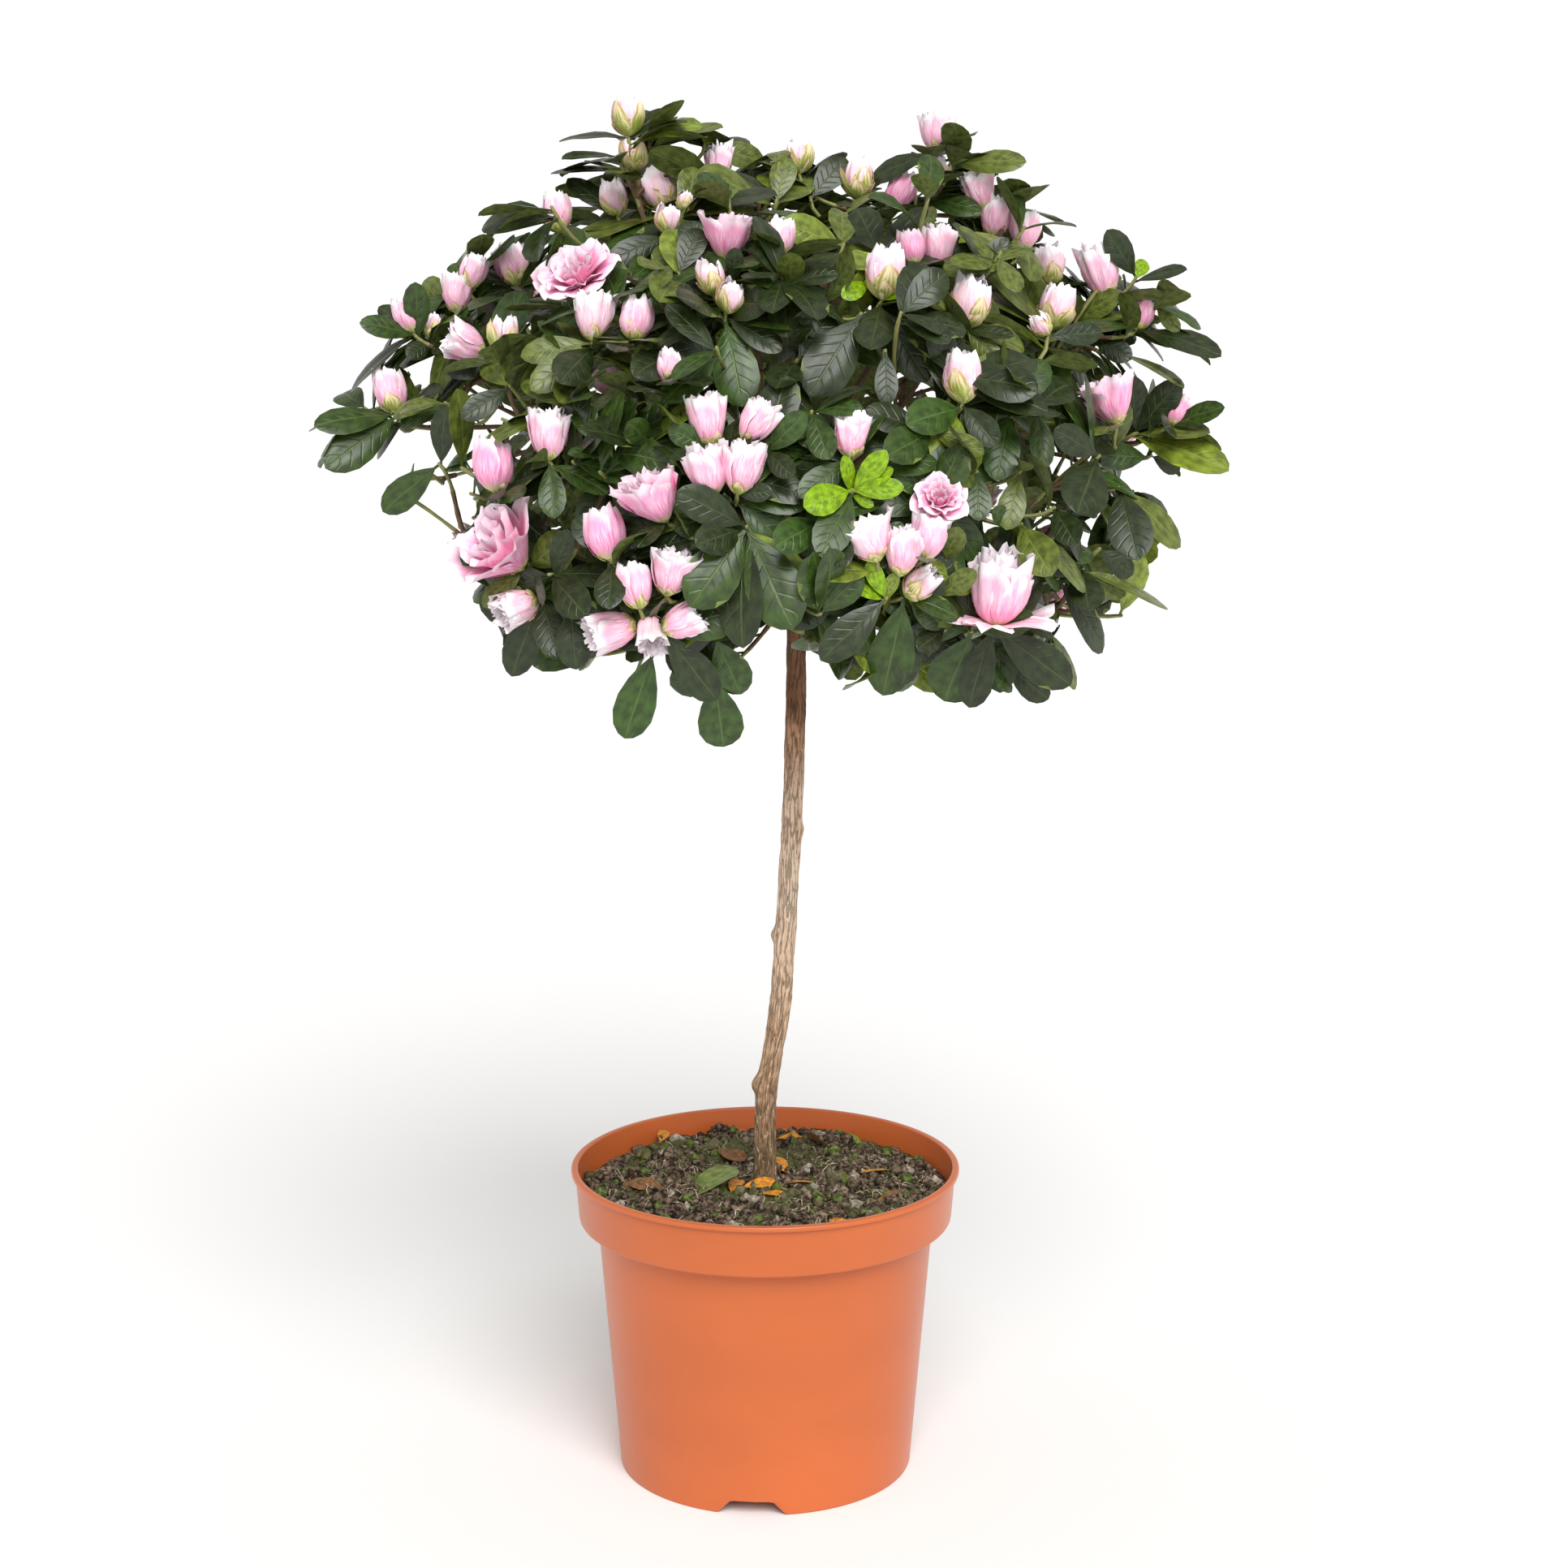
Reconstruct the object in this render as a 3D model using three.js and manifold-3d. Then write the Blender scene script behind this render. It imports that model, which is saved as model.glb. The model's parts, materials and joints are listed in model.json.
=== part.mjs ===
// An azalea trained as a small standard: a round flowering crown on one bare stem, in a round plastic pot.
// Millimetres, +Z up. The origin is the centre of the circle that the pot stands on.
// +X is to the right and -Y to the front. Azimuths turn from +X towards +Y, elevations rise from level.

import * as THREE from "three";
import { mergeVertices } from "three/addons/utils/BufferGeometryUtils.js";
import Module from "manifold-3d";

const wasm = await Module();
wasm.setup();

// ---- Driving dimensions ----

const CLEARANCE = 0.3; // between solids that touch on the real plant
const SMALLEST_EDGE = 0.05; // fused solids lose shorter edges than this
const THINNEST_FACE = 0.0006; // a fused mass with a thinner face is made again

const POT = {
  height: 151.6,
  lipRadius: 95,
  lipHeight: 2.6,
  bandTopRadius: 93.3,
  bandFootRadius: 91.2,
  bandFootHeight: 125.7,
  shoulderRadius: 82.4,
  baseRadius: 72,
  wall: 1.6,
  skirtWall: 2,
  floorRise: 7,
  floorThickness: 1.8,
  sides: 36,
};
const NOTCH = { count: 3, firstAzimuth: 265, footWidth: 33, headWidth: 20, height: 7 };

const SOIL = { seatHeight: 138, seatRadius: 22, crestHeight: 142.5, crestRadius: 55, rimHeight: 140 };

const TRUNK = {
  footRadius: 6.6,
  stemRadius: 5.4,
  headRadius: 4.6,
  tipRadius: 2.6,
  flareHeight: 14,
  headHeight: 415,
  // the line of the stem: it stands upright, leans to the right and straightens again
  line: [
    [0, 0, 120],
    [0, 0, 160],
    [0.8, 0, 188],
    [6, 0, 222],
    [10.2, 0, 271],
    [13.6, 0, 343],
    [15, 0, 415],
    [12, 0, 480],
  ],
  sides: 8,
  rings: 16,
};

const CROWN = {
  centre: new THREE.Vector3(5, 0, 462),
  spread: 176, // from the centre to the shoot tips, level
  rise: 160, // the same, straight up
  hang: 112, // the same, straight down
  lowest: -27, // elevation of the lowest shoots
  shoots: 72,
  gather: 0.03, // how far each shoot leans in towards the middle of its mass
  unevenness: 0.14,
  firstAzimuth: 280,
  azimuthWander: 9, // degrees that a shoot may stand off its even place, to either side
  elevationWander: 3,
  seed: 11,
};

const BOUGH = { rootRadius: 2.5, tipRadius: 1.8, reach: 0.42, climb: 0.25, bend: 0.35, sides: 5, rings: 4 };
const STEM = { tipRadius: 1.3, reach: 0.7, sides: 4, rings: 2 };
const TWIG = {
  rootRadius: 1.25,
  tipRadius: 0.95,
  sides: 3,
  rings: 2,
  bend: 0.3,
  lift: [0.25, 0.75], // how far the tip turns up
  firstRoot: 0.96, // where on the stem the straightest twig starts
  rootRetreat: 1.3, // how far back along the stem a twig starts for each radian that it leans out
  lowestRoot: 0.3,
};
const LEAF = {
  least: 42, // larger than life, because the solids have only a part of the leaves
  most: 53,
  slenderness: 0.5,
  thickness: 1.6,
  heel: { along: 0.3, out: 0.36 }, // shares of the leaf's length and width
  shoulder: { along: 0.72, out: 0.46, drop: 0.6 }, // drop is a share of the tip's
  crest: 0.34, // where the rib stands highest
  sag: 0.1, // how far the tip hangs, as a share of the length
  sink: 1,
  atTip: 4,
  along: 1,
  firstGap: 1.5, // from the shoot's tip down to its first leaf
  nextGap: 1.6,
  skirt: 20, // and to the leaves along the shoot
  lowestRoot: 0.3, // share of the shoot below which no leaf grows
  lean: [0.05, 0.75], // how far leaves turn towards the shoot's tip
  droop: 0.22,
  attempts: 10, // turns that are tried before a leaf that doesn't fit is skipped
  attemptTurn: 0.37,
  attemptShrink: 0.95,
};
// To fuse a mass cleanly, it is made again with its leaves turned and its twigs thickened a little.
const MASS_ATTEMPTS = 40;
const LEAF_TURN = 0.04;
const TWIG_SWELL = 0.3; // millimetres for each radian that the leaves are turned
const SPACE_MARGIN = 0.25; // each mass stays this far inside its own space
const BOUGH_ROOM = 2.8; // between a bough's surface and any leaf or twig
const TRUNK_ROOM = 5.8; // and between the trunk's and any leaf or twig

// Each mass of foliage has one bough. The azimuth and elevation are of its middle, seen from the crown's
// centre. Reach scales the dome there, and fork is the height at which its bough leaves the trunk.
const MASSES = [
  { name: "top_left", azimuth: 196, elevation: 66, reach: 1.1, fork: 474 },
  { name: "top_right", azimuth: 350, elevation: 60, reach: 1.08, fork: 469 },
  { name: "top_front", azimuth: 264, elevation: 50, reach: 1.0, fork: 463 },
  { name: "top_back", azimuth: 84, elevation: 52, reach: 1.0, fork: 464 },
  { name: "left", azimuth: 180, elevation: 24, reach: 1.04, fork: 446 },
  { name: "front_left", azimuth: 231, elevation: 20, reach: 1.0, fork: 455 },
  { name: "front_right", azimuth: 302, elevation: 21, reach: 1.0, fork: 447 },
  { name: "right", azimuth: 0, elevation: 24, reach: 1.04, fork: 457 },
  { name: "back_right", azimuth: 58, elevation: 20, reach: 1.02, fork: 445 },
  { name: "back_left", azimuth: 122, elevation: 20, reach: 1.02, fork: 453 },
  { name: "low_left", azimuth: 203, elevation: -11, reach: 1.0, fork: 435 },
  { name: "low_front", azimuth: 262, elevation: -9, reach: 1.02, fork: 428 },
  { name: "low_right", azimuth: 324, elevation: -10, reach: 1.02, fork: 436 },
  { name: "low_back_right", azimuth: 25, elevation: -11, reach: 1.0, fork: 425 },
  { name: "low_back", azimuth: 86, elevation: -10, reach: 1.0, fork: 434 },
  { name: "low_back_left", azimuth: 148, elevation: -11, reach: 1.0, fork: 427 },
];

// The shoots that give the crown its outline and carry its largest blooms. Reach is from the crown's centre.
const LEADERS = [
  { azimuth: 190, elevation: 68, reach: 188, bloom: "bud", blooms: 2 },
  { azimuth: 355, elevation: 66, reach: 180, bloom: "half", blooms: 1 },
  { azimuth: 184, elevation: 17, reach: 199, bloom: "bud", blooms: 1 },
  { azimuth: 187, elevation: 31, reach: 192, bloom: "bud", blooms: 2 },
  { azimuth: 352, elevation: 37, reach: 186, bloom: "half", blooms: 1 },
  { azimuth: 359, elevation: 14, reach: 180, bloom: "half", blooms: 1 },
  { azimuth: 347, elevation: -4, reach: 168, bloom: "none", blooms: 0 },
  { azimuth: 308, elevation: -6, reach: 160, bloom: "open", blooms: 1 },
  { azimuth: 287, elevation: -4, reach: 160, bloom: "half", blooms: 3 },
  { azimuth: 252, elevation: -13, reach: 160, bloom: "half", blooms: 3 },
  { azimuth: 227, elevation: -6, reach: 158, bloom: "open", blooms: 2 },
  { azimuth: 264, elevation: 14, reach: 170, bloom: "half", blooms: 3 },
  { azimuth: 281, elevation: 11, reach: 176, bloom: "bud", blooms: 1 },
  { azimuth: 236, elevation: 42, reach: 164, bloom: "open", blooms: 1 },
];
const LEADER_ROOM = 12; // degrees around a leader that other shoots keep out of

// A bloom's profile from its foot up, as radius and height: a closed bud, a ruffled cup and an open one.
const BLOOMS = {
  small: { profile: [[0, -1], [4.2, 4], [4.4, 10], [0, 17]], sides: 6, ruffle: 0 },
  bud: { profile: [[0, -1], [8.4, 8], [6.4, 20], [0, 25]], sides: 6, ruffle: 0 },
  half: { profile: [[0, -1], [8, 6], [15, 27], [0, 20]], sides: 8, ruffle: 3 },
  open: { profile: [[0, -1], [12, 8], [24, 27], [0, 18]], sides: 10, ruffle: 4 },
};

// How many shoots flower, and how far open their blooms are, from 0 to 1.
const FLOWERING = {
  highFrom: 25, // degrees of elevation
  high: { share: 0.78, ripeness: -0.1 },
  low: { share: 0.55, ripeness: 0.15 },
  smallBelow: 0.25,
  budBelow: 0.82,
};
// How far blooms turn out from their twig's line.
const BLOOM_SPREAD = { single: 0.12, several: 0.85, narrower: 0.4 };

const COLOURS = {
  pot: 0xdf7a4b,
  soil: 0x4b4236,
  bark: 0x9c7f63,
  foliage: 0x2f4a2a,
};

// ---- Small helpers ----

const UP = new THREE.Vector3(0, 0, 1);
const GOLDEN_ANGLE = Math.PI * (3 - Math.sqrt(5));
const radians = THREE.MathUtils.degToRad;
const degrees = THREE.MathUtils.radToDeg;

// Numbers from 0 to 1 that are the same for the same seed.
function seeded(seed) {
  let state = seed >>> 0;
  return () => {
    state = (state + 0x6d2b79f5) >>> 0;
    let mixed = Math.imul(state ^ (state >>> 15), state | 1);
    mixed ^= mixed + Math.imul(mixed ^ (mixed >>> 7), mixed | 61);
    return ((mixed ^ (mixed >>> 14)) >>> 0) / 4294967296;
  };
}

const between = (low, high, random) => low + (high - low) * random();

function toward(azimuth, elevation) {
  const level = Math.cos(radians(elevation));
  return new THREE.Vector3(
    level * Math.cos(radians(azimuth)),
    level * Math.sin(radians(azimuth)),
    Math.sin(radians(elevation)),
  );
}

// ---- Solids ----

function solidOf(geometry) {
  const bare = geometry.clone();
  bare.deleteAttribute("normal");
  bare.deleteAttribute("uv");
  const merged = mergeVertices(bare, 1e-4);
  const corners = [];
  for (let i = 0; i < merged.index.count; i += 3) {
    const [a, b, c] = [0, 1, 2].map((k) => merged.index.getX(i + k));
    if (a !== b && b !== c && c !== a) corners.push(a, b, c);
  }
  return new wasm.Manifold(
    new wasm.Mesh({
      numProp: 3,
      vertProperties: merged.attributes.position.array,
      triVerts: new Uint32Array(corners),
    }),
  );
}

function geometryOf(solid) {
  const mesh = solid.getMesh();
  const geometry = new THREE.BufferGeometry();
  geometry.setAttribute("position", new THREE.BufferAttribute(new Float32Array(mesh.vertProperties), 3));
  geometry.setIndex(new THREE.BufferAttribute(new Uint32Array(mesh.triVerts), 1));
  return geometry;
}

const fuse = (solids) => wasm.Manifold.union(solids).asOriginal().simplify(SMALLEST_EDGE);

// Whether every face of a solid is thick enough, and no two of its corners fall together.
function isClean(solid) {
  const { vertProperties, triVerts } = solid.getMesh();
  const corner = (i) => new THREE.Vector3(...vertProperties.slice(3 * i, 3 * i + 3));
  const places = new Set();
  for (let i = 0; i < vertProperties.length / 3; i++) {
    places.add(corner(i).divideScalar(THINNEST_FACE).round().toArray().join());
  }
  if (places.size < vertProperties.length / 3) return false;
  for (let i = 0; i < triVerts.length; i += 3) {
    const [a, b, c] = [0, 1, 2].map((k) => corner(triVerts[i + k]));
    const longest = Math.max(a.distanceTo(b), b.distanceTo(c), c.distanceTo(a));
    if ((2 * new THREE.Triangle(a, b, c).getArea()) / longest < THINNEST_FACE) return false;
  }
  return true;
}

// A round limb along a curve: a closed cylinder whose rings are carried along it, each at its own radius.
function limb(curve, radiusAt, sides, rings) {
  const bar = new THREE.CylinderGeometry(1, 1, 1, sides, rings);
  const frames = curve.computeFrenetFrames(rings);
  const position = bar.attributes.position;
  for (let i = 0; i < position.count; i++) {
    const share = position.getY(i) + 0.5;
    const ring = Math.round(share * rings);
    const radius = radiusAt(share);
    const point = curve
      .getPointAt(share)
      .addScaledVector(frames.normals[ring], position.getX(i) * radius)
      .addScaledVector(frames.binormals[ring], -position.getZ(i) * radius);
    position.setXYZ(i, point.x, point.y, point.z);
  }
  return solidOf(bar);
}

const taper = (from, to) => (share) => from + (to - from) * share;

// ---- Pot and soil ----

function turned(profile, sides) {
  const points = profile.map(([radius, height]) => new THREE.Vector2(radius, height));
  return solidOf(new THREE.LatheGeometry(points, sides).rotateX(Math.PI / 2));
}

// The body's outer radius at a height, on the straight wall between the base and the shoulder.
const bodyRadius = (height) =>
  POT.baseRadius + ((POT.shoulderRadius - POT.baseRadius) * height) / POT.bandFootHeight;

function bandRadius(height) {
  const share = (height - POT.bandFootHeight) / (POT.height - POT.bandFootHeight);
  return POT.bandFootRadius + (POT.bandTopRadius - POT.bandFootRadius) * share;
}

function potShell() {
  const floorTop = POT.floorRise + POT.floorThickness;
  const skirtInside = POT.baseRadius - POT.skirtWall;
  const lipFoot = POT.height - POT.lipHeight;
  const profile = [
    [0, POT.floorRise],
    [skirtInside, POT.floorRise],
    [skirtInside, 0],
    [POT.baseRadius, 0],
    [bodyRadius(POT.bandFootHeight), POT.bandFootHeight],
    [bandRadius(POT.bandFootHeight), POT.bandFootHeight],
    [bandRadius(lipFoot), lipFoot],
    [POT.lipRadius, lipFoot],
    [POT.lipRadius, POT.height],
    [bandRadius(POT.height) - POT.wall, POT.height],
    [bandRadius(POT.bandFootHeight) - POT.wall, POT.bandFootHeight + POT.wall],
    [bodyRadius(POT.bandFootHeight) - POT.wall, POT.bandFootHeight],
    [bodyRadius(floorTop) - POT.wall, floorTop],
    [0, floorTop],
  ];
  let shell = turned(profile, POT.sides);
  for (let i = 0; i < NOTCH.count; i++) shell = shell.subtract(notchCutter(i));
  return shell;
}

// A block that cuts one drain notch through the skirt, wider at its foot.
function notchCutter(index) {
  const below = POT.skirtWall / 2;
  const slope = (NOTCH.footWidth - NOTCH.headWidth) / 2 / NOTCH.height;
  const foot = NOTCH.footWidth / 2 + slope * below;
  const outline = new THREE.Shape([
    new THREE.Vector2(-foot, -below),
    new THREE.Vector2(foot, -below),
    new THREE.Vector2(NOTCH.headWidth / 2, NOTCH.height),
    new THREE.Vector2(-NOTCH.headWidth / 2, NOTCH.height),
  ]);
  const depth = 6 * POT.skirtWall;
  const block = new THREE.ExtrudeGeometry(outline, { depth, bevelEnabled: false })
    .rotateX(Math.PI / 2)
    .rotateZ(Math.PI / 2)
    .translate(POT.baseRadius - depth / 2, 0, 0)
    .rotateZ(radians(NOTCH.firstAzimuth + (360 / NOTCH.count) * index));
  return solidOf(block);
}

function soilPlug() {
  const foot = POT.floorRise + POT.floorThickness + CLEARANCE;
  const insideBody = (height) => bodyRadius(height) - POT.wall - CLEARANCE * 1.4;
  const insideBand = (height) => bandRadius(height) - POT.wall - CLEARANCE * 1.4;
  return turned(
    [
      [0, foot],
      [insideBody(foot), foot],
      [insideBody(POT.bandFootHeight), POT.bandFootHeight + CLEARANCE],
      [insideBand(POT.bandFootHeight + POT.wall), POT.bandFootHeight + POT.wall + CLEARANCE],
      [insideBand(SOIL.rimHeight), SOIL.rimHeight],
      [SOIL.crestRadius, SOIL.crestHeight],
      [SOIL.seatRadius, SOIL.seatHeight],
      [0, SOIL.seatHeight],
    ],
    POT.sides,
  );
}

// ---- Trunk and boughs ----

const ground = SOIL.seatHeight + CLEARANCE;
const trunkLine = new THREE.CatmullRomCurve3(TRUNK.line.map((point) => new THREE.Vector3(...point)));

function trunkRadius(height) {
  if (height < ground + TRUNK.flareHeight) {
    const share = Math.max(0, (height - ground) / TRUNK.flareHeight);
    return TRUNK.footRadius + (TRUNK.stemRadius - TRUNK.footRadius) * Math.sqrt(share);
  }
  if (height < TRUNK.headHeight) {
    const share = (height - ground - TRUNK.flareHeight) / (TRUNK.headHeight - ground - TRUNK.flareHeight);
    return TRUNK.stemRadius + (TRUNK.headRadius - TRUNK.stemRadius) * share;
  }
  const tipHeight = TRUNK.line.at(-1)[2];
  const share = (height - TRUNK.headHeight) / (tipHeight - TRUNK.headHeight);
  return TRUNK.headRadius + (TRUNK.tipRadius - TRUNK.headRadius) * share;
}

// The trunk, or with some room added the space that boughs keep out of.
function trunkSolid(room = 0) {
  const whole = limb(
    trunkLine,
    (share) => trunkRadius(trunkLine.getPointAt(share).z) + room,
    TRUNK.sides,
    TRUNK.rings,
  );
  const side = 10 * TRUNK.footRadius;
  const under = solidOf(new THREE.BoxGeometry(side, side, side).translate(0, 0, ground - room - side / 2));
  return whole.subtract(under);
}

function trunkAxis(height) {
  let [low, high] = [0, 1];
  for (let step = 0; step < 24; step++) {
    const middle = (low + high) / 2;
    if (trunkLine.getPointAt(middle).z < height) low = middle;
    else high = middle;
  }
  return trunkLine.getPointAt(low);
}

// How far the dome of shoot tips lies from the crown's centre in a direction.
function domeReach(direction) {
  const level = (direction.x ** 2 + direction.y ** 2) / CROWN.spread ** 2;
  const upright = direction.z ** 2 / (direction.z > 0 ? CROWN.rise : CROWN.hang) ** 2;
  return 1 / Math.sqrt(level + upright);
}

const fromCentre = (direction, distance) => CROWN.centre.clone().addScaledVector(direction, distance);

for (const mass of MASSES) {
  mass.direction = toward(mass.azimuth, mass.elevation);
  mass.radius = domeReach(mass.direction) * mass.reach;
  mass.boughTip = fromCentre(mass.direction, mass.radius * BOUGH.reach);
  const root = trunkAxis(mass.fork);
  const run = mass.boughTip.distanceTo(root);
  const setOff = mass.direction.clone().addScaledVector(UP, BOUGH.climb).normalize();
  mass.boughLine = new THREE.CubicBezierCurve3(
    root,
    root.clone().addScaledVector(setOff, run * BOUGH.bend),
    mass.boughTip.clone().addScaledVector(mass.direction, -run * BOUGH.bend),
    mass.boughTip,
  );
  mass.stemLine = new THREE.LineCurve3(
    fromCentre(mass.direction, mass.radius * BOUGH.reach + CLEARANCE),
    fromCentre(mass.direction, mass.radius * STEM.reach),
  );
}

function boughSolid(mass, trunkRoom) {
  const whole = limb(mass.boughLine, taper(BOUGH.rootRadius, BOUGH.tipRadius), BOUGH.sides, BOUGH.rings);
  return largestOf(whole.subtract(trunkRoom));
}

// ---- Shoots: where the crown's tips are, and which mass each belongs to ----

function massNearest(direction) {
  const nearness = (mass) => direction.dot(mass.direction);
  return MASSES.reduce((best, mass) => (nearness(mass) > nearness(best) ? mass : best));
}

// What a shoot carries: more buds above, fewer but wider blooms below.
function bloomFor(elevation, random) {
  const { share, ripeness } = elevation > FLOWERING.highFrom ? FLOWERING.high : FLOWERING.low;
  const flowers = random() < share;
  const openness = random() + ripeness;
  if (!flowers) return "none";
  if (openness < FLOWERING.smallBelow) return "small";
  return openness < FLOWERING.budBelow ? "bud" : "half";
}

function shootTips() {
  const random = seeded(CROWN.seed);
  const leaders = LEADERS.map((leader) => ({
    ...leader,
    direction: toward(leader.azimuth, leader.elevation),
  }));
  const shoots = [...leaders];
  const lowest = Math.sin(radians(CROWN.lowest));
  for (let i = 0; i < CROWN.shoots; i++) {
    const height = 1 - ((i + 0.5) / CROWN.shoots) * (1 - lowest);
    const evenAzimuth = CROWN.firstAzimuth + degrees(i * GOLDEN_ANGLE);
    const azimuth = evenAzimuth + CROWN.azimuthWander * between(-1, 1, random);
    const elevation = degrees(Math.asin(height)) + CROWN.elevationWander * between(-1, 1, random);
    const wander = 1 + CROWN.unevenness * (random() - 0.5);
    const bloom = bloomFor(elevation, random);
    const direction = toward(azimuth, elevation);
    const crowded = leaders.some((leader) => direction.angleTo(leader.direction) < radians(LEADER_ROOM));
    if (crowded) continue;
    const mass = massNearest(direction);
    direction.lerp(mass.direction, CROWN.gather).normalize();
    const reach = domeReach(direction) * mass.reach * wander;
    shoots.push({ direction, reach, bloom, blooms: bloom === "none" ? 0 : 1 });
  }
  return shoots.map((shoot, index) => ({ ...shoot, index, mass: massNearest(shoot.direction) }));
}

// ---- Masses: a stem, its twigs, and the leaves and blooms fused to them ----

// A mass keeps to the cone of directions that are nearer to its own middle than to any other mass's.
function insideSpace(mass, point) {
  const outward = point.clone().sub(CROWN.centre);
  return MASSES.every((other) => {
    if (other === mass) return true;
    const wall = mass.direction.clone().sub(other.direction).normalize();
    return outward.dot(wall) > SPACE_MARGIN;
  });
}

const limbPoints = MASSES.map((mass) => mass.boughLine.getPoints(12));
const trunkPoints = trunkLine.getPoints(40).filter((point) => point.z > CROWN.centre.z - CROWN.hang);

function clearOfLimbs(point) {
  const near = (room) => (limbPoint) => limbPoint.distanceTo(point) < room;
  return (
    !limbPoints.some((points) => points.some(near(BOUGH.rootRadius + BOUGH_ROOM))) &&
    !trunkPoints.some(near(TRUNK.headRadius + TRUNK_ROOM))
  );
}

const fits = (mass, points) => points.every((point) => insideSpace(mass, point) && clearOfLimbs(point));

// The line of a twig: it leaves the mass's stem forwards, the outermost lowest, and turns up at its tip.
function twigLine(mass, shoot, random) {
  const tip = fromCentre(shoot.direction, shoot.reach);
  const offset = shoot.direction.angleTo(mass.direction);
  const rootShare = Math.max(TWIG.lowestRoot, TWIG.firstRoot - offset * TWIG.rootRetreat);
  const root = mass.stemLine.getPoint(rootShare);
  const run = tip.distanceTo(root);
  const lift = between(...TWIG.lift, random);
  const ending = shoot.direction.clone().addScaledVector(UP, lift).normalize();
  const setOff = tip.clone().sub(root).normalize().add(mass.direction).normalize();
  return {
    ending,
    curve: new THREE.CubicBezierCurve3(
      root,
      root.clone().addScaledVector(setOff, run * TWIG.bend),
      tip.clone().addScaledVector(ending, -run * TWIG.bend),
      tip,
    ),
  };
}

// A leaf's corners in its own frame, along +X from its root and face up: the outline, then the rib's crest.
function leafCorners(length, width) {
  const { heel, shoulder, crest, sag } = LEAF;
  const tipDrop = sag * length;
  const shoulderDrop = shoulder.drop * tipDrop;
  return [
    [-LEAF.sink, 0, 0],
    [heel.along * length, -heel.out * width, 0],
    [shoulder.along * length, -shoulder.out * width, -shoulderDrop],
    [length, 0, -tipDrop],
    [shoulder.along * length, shoulder.out * width, -shoulderDrop],
    [heel.along * length, heel.out * width, 0],
    [crest * length, 0, LEAF.thickness],
  ];
}
const LEAF_FACES = [
  [0, 1, 6], [1, 2, 6], [2, 3, 6], [3, 4, 6], [4, 5, 6], [5, 0, 6],
  [0, 5, 1], [1, 5, 4], [1, 4, 2], [2, 4, 3],
];

function leafSolid(corners) {
  const geometry = new THREE.BufferGeometry().setFromPoints(corners);
  geometry.setIndex(LEAF_FACES.flat());
  return solidOf(geometry);
}

// A leaf's corners in place, growing from a point on a twig. The face is on the side that the twig points to.
function placedLeaf(root, heading, twigHeading, length, width) {
  const face = twigHeading.clone().addScaledVector(heading, -twigHeading.dot(heading)).normalize();
  const side = new THREE.Vector3().crossVectors(face, heading);
  const place = new THREE.Matrix4().makeBasis(heading, side, face).setPosition(root);
  return leafCorners(length, width).map((corner) => new THREE.Vector3(...corner).applyMatrix4(place));
}

// The leaves of one shoot: a rosette just below its tip, then a few further down.
function shootLeaves(mass, line, random, turned) {
  const solids = [];
  const runLength = line.curve.getLength();
  const count = LEAF.atTip + LEAF.along;
  const twist = random() * 2 * Math.PI + turned;
  for (let i = 0; i < count; i++) {
    const back = i < LEAF.atTip ? LEAF.firstGap + i * LEAF.nextGap : LEAF.skirt;
    const share = Math.max(LEAF.lowestRoot, 1 - back / runLength);
    const root = line.curve.getPointAt(share);
    const along = line.curve.getTangentAt(share);
    const fullLength = between(LEAF.least, LEAF.most, random);
    const lean = between(...LEAF.lean, random);
    const aside = Math.abs(along.z) > 0.9 ? new THREE.Vector3(1, 0, 0) : UP;
    const across = new THREE.Vector3().crossVectors(along, aside).normalize();
    for (let attempt = 0; attempt < LEAF.attempts; attempt++) {
      const turn = twist + i * GOLDEN_ANGLE + attempt * LEAF.attemptTurn;
      const heading = across.clone().applyAxisAngle(along, turn).addScaledVector(along, lean);
      heading.z -= LEAF.droop;
      heading.normalize();
      const length = fullLength * LEAF.attemptShrink ** attempt;
      const corners = placedLeaf(root, heading, along, length, length * LEAF.slenderness);
      if (!fits(mass, corners)) continue;
      solids.push(leafSolid(corners));
      break;
    }
  }
  return solids;
}

// A bloom: a turned profile whose rim rises and falls between its petals.
function bloomSolid(kind, foot, heading) {
  const { profile, sides, ruffle } = BLOOMS[kind];
  const points = profile.map(([radius, height]) => new THREE.Vector2(radius, height));
  const geometry = new THREE.LatheGeometry(points, sides).rotateX(Math.PI / 2);
  const position = geometry.attributes.position;
  const rim = points.length - 2;
  for (let column = 1; column < sides; column += 2) {
    const corner = column * points.length + rim;
    position.setZ(corner, position.getZ(corner) - ruffle);
  }
  const turn = new THREE.Quaternion().setFromUnitVectors(UP, heading);
  geometry.applyQuaternion(turn).translate(foot.x, foot.y, foot.z);
  return { solid: solidOf(geometry), points: bloomCorners(position) };
}

function bloomCorners(position) {
  const corners = [];
  for (let i = 0; i < position.count; i++) corners.push(new THREE.Vector3().fromBufferAttribute(position, i));
  return corners;
}

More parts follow.
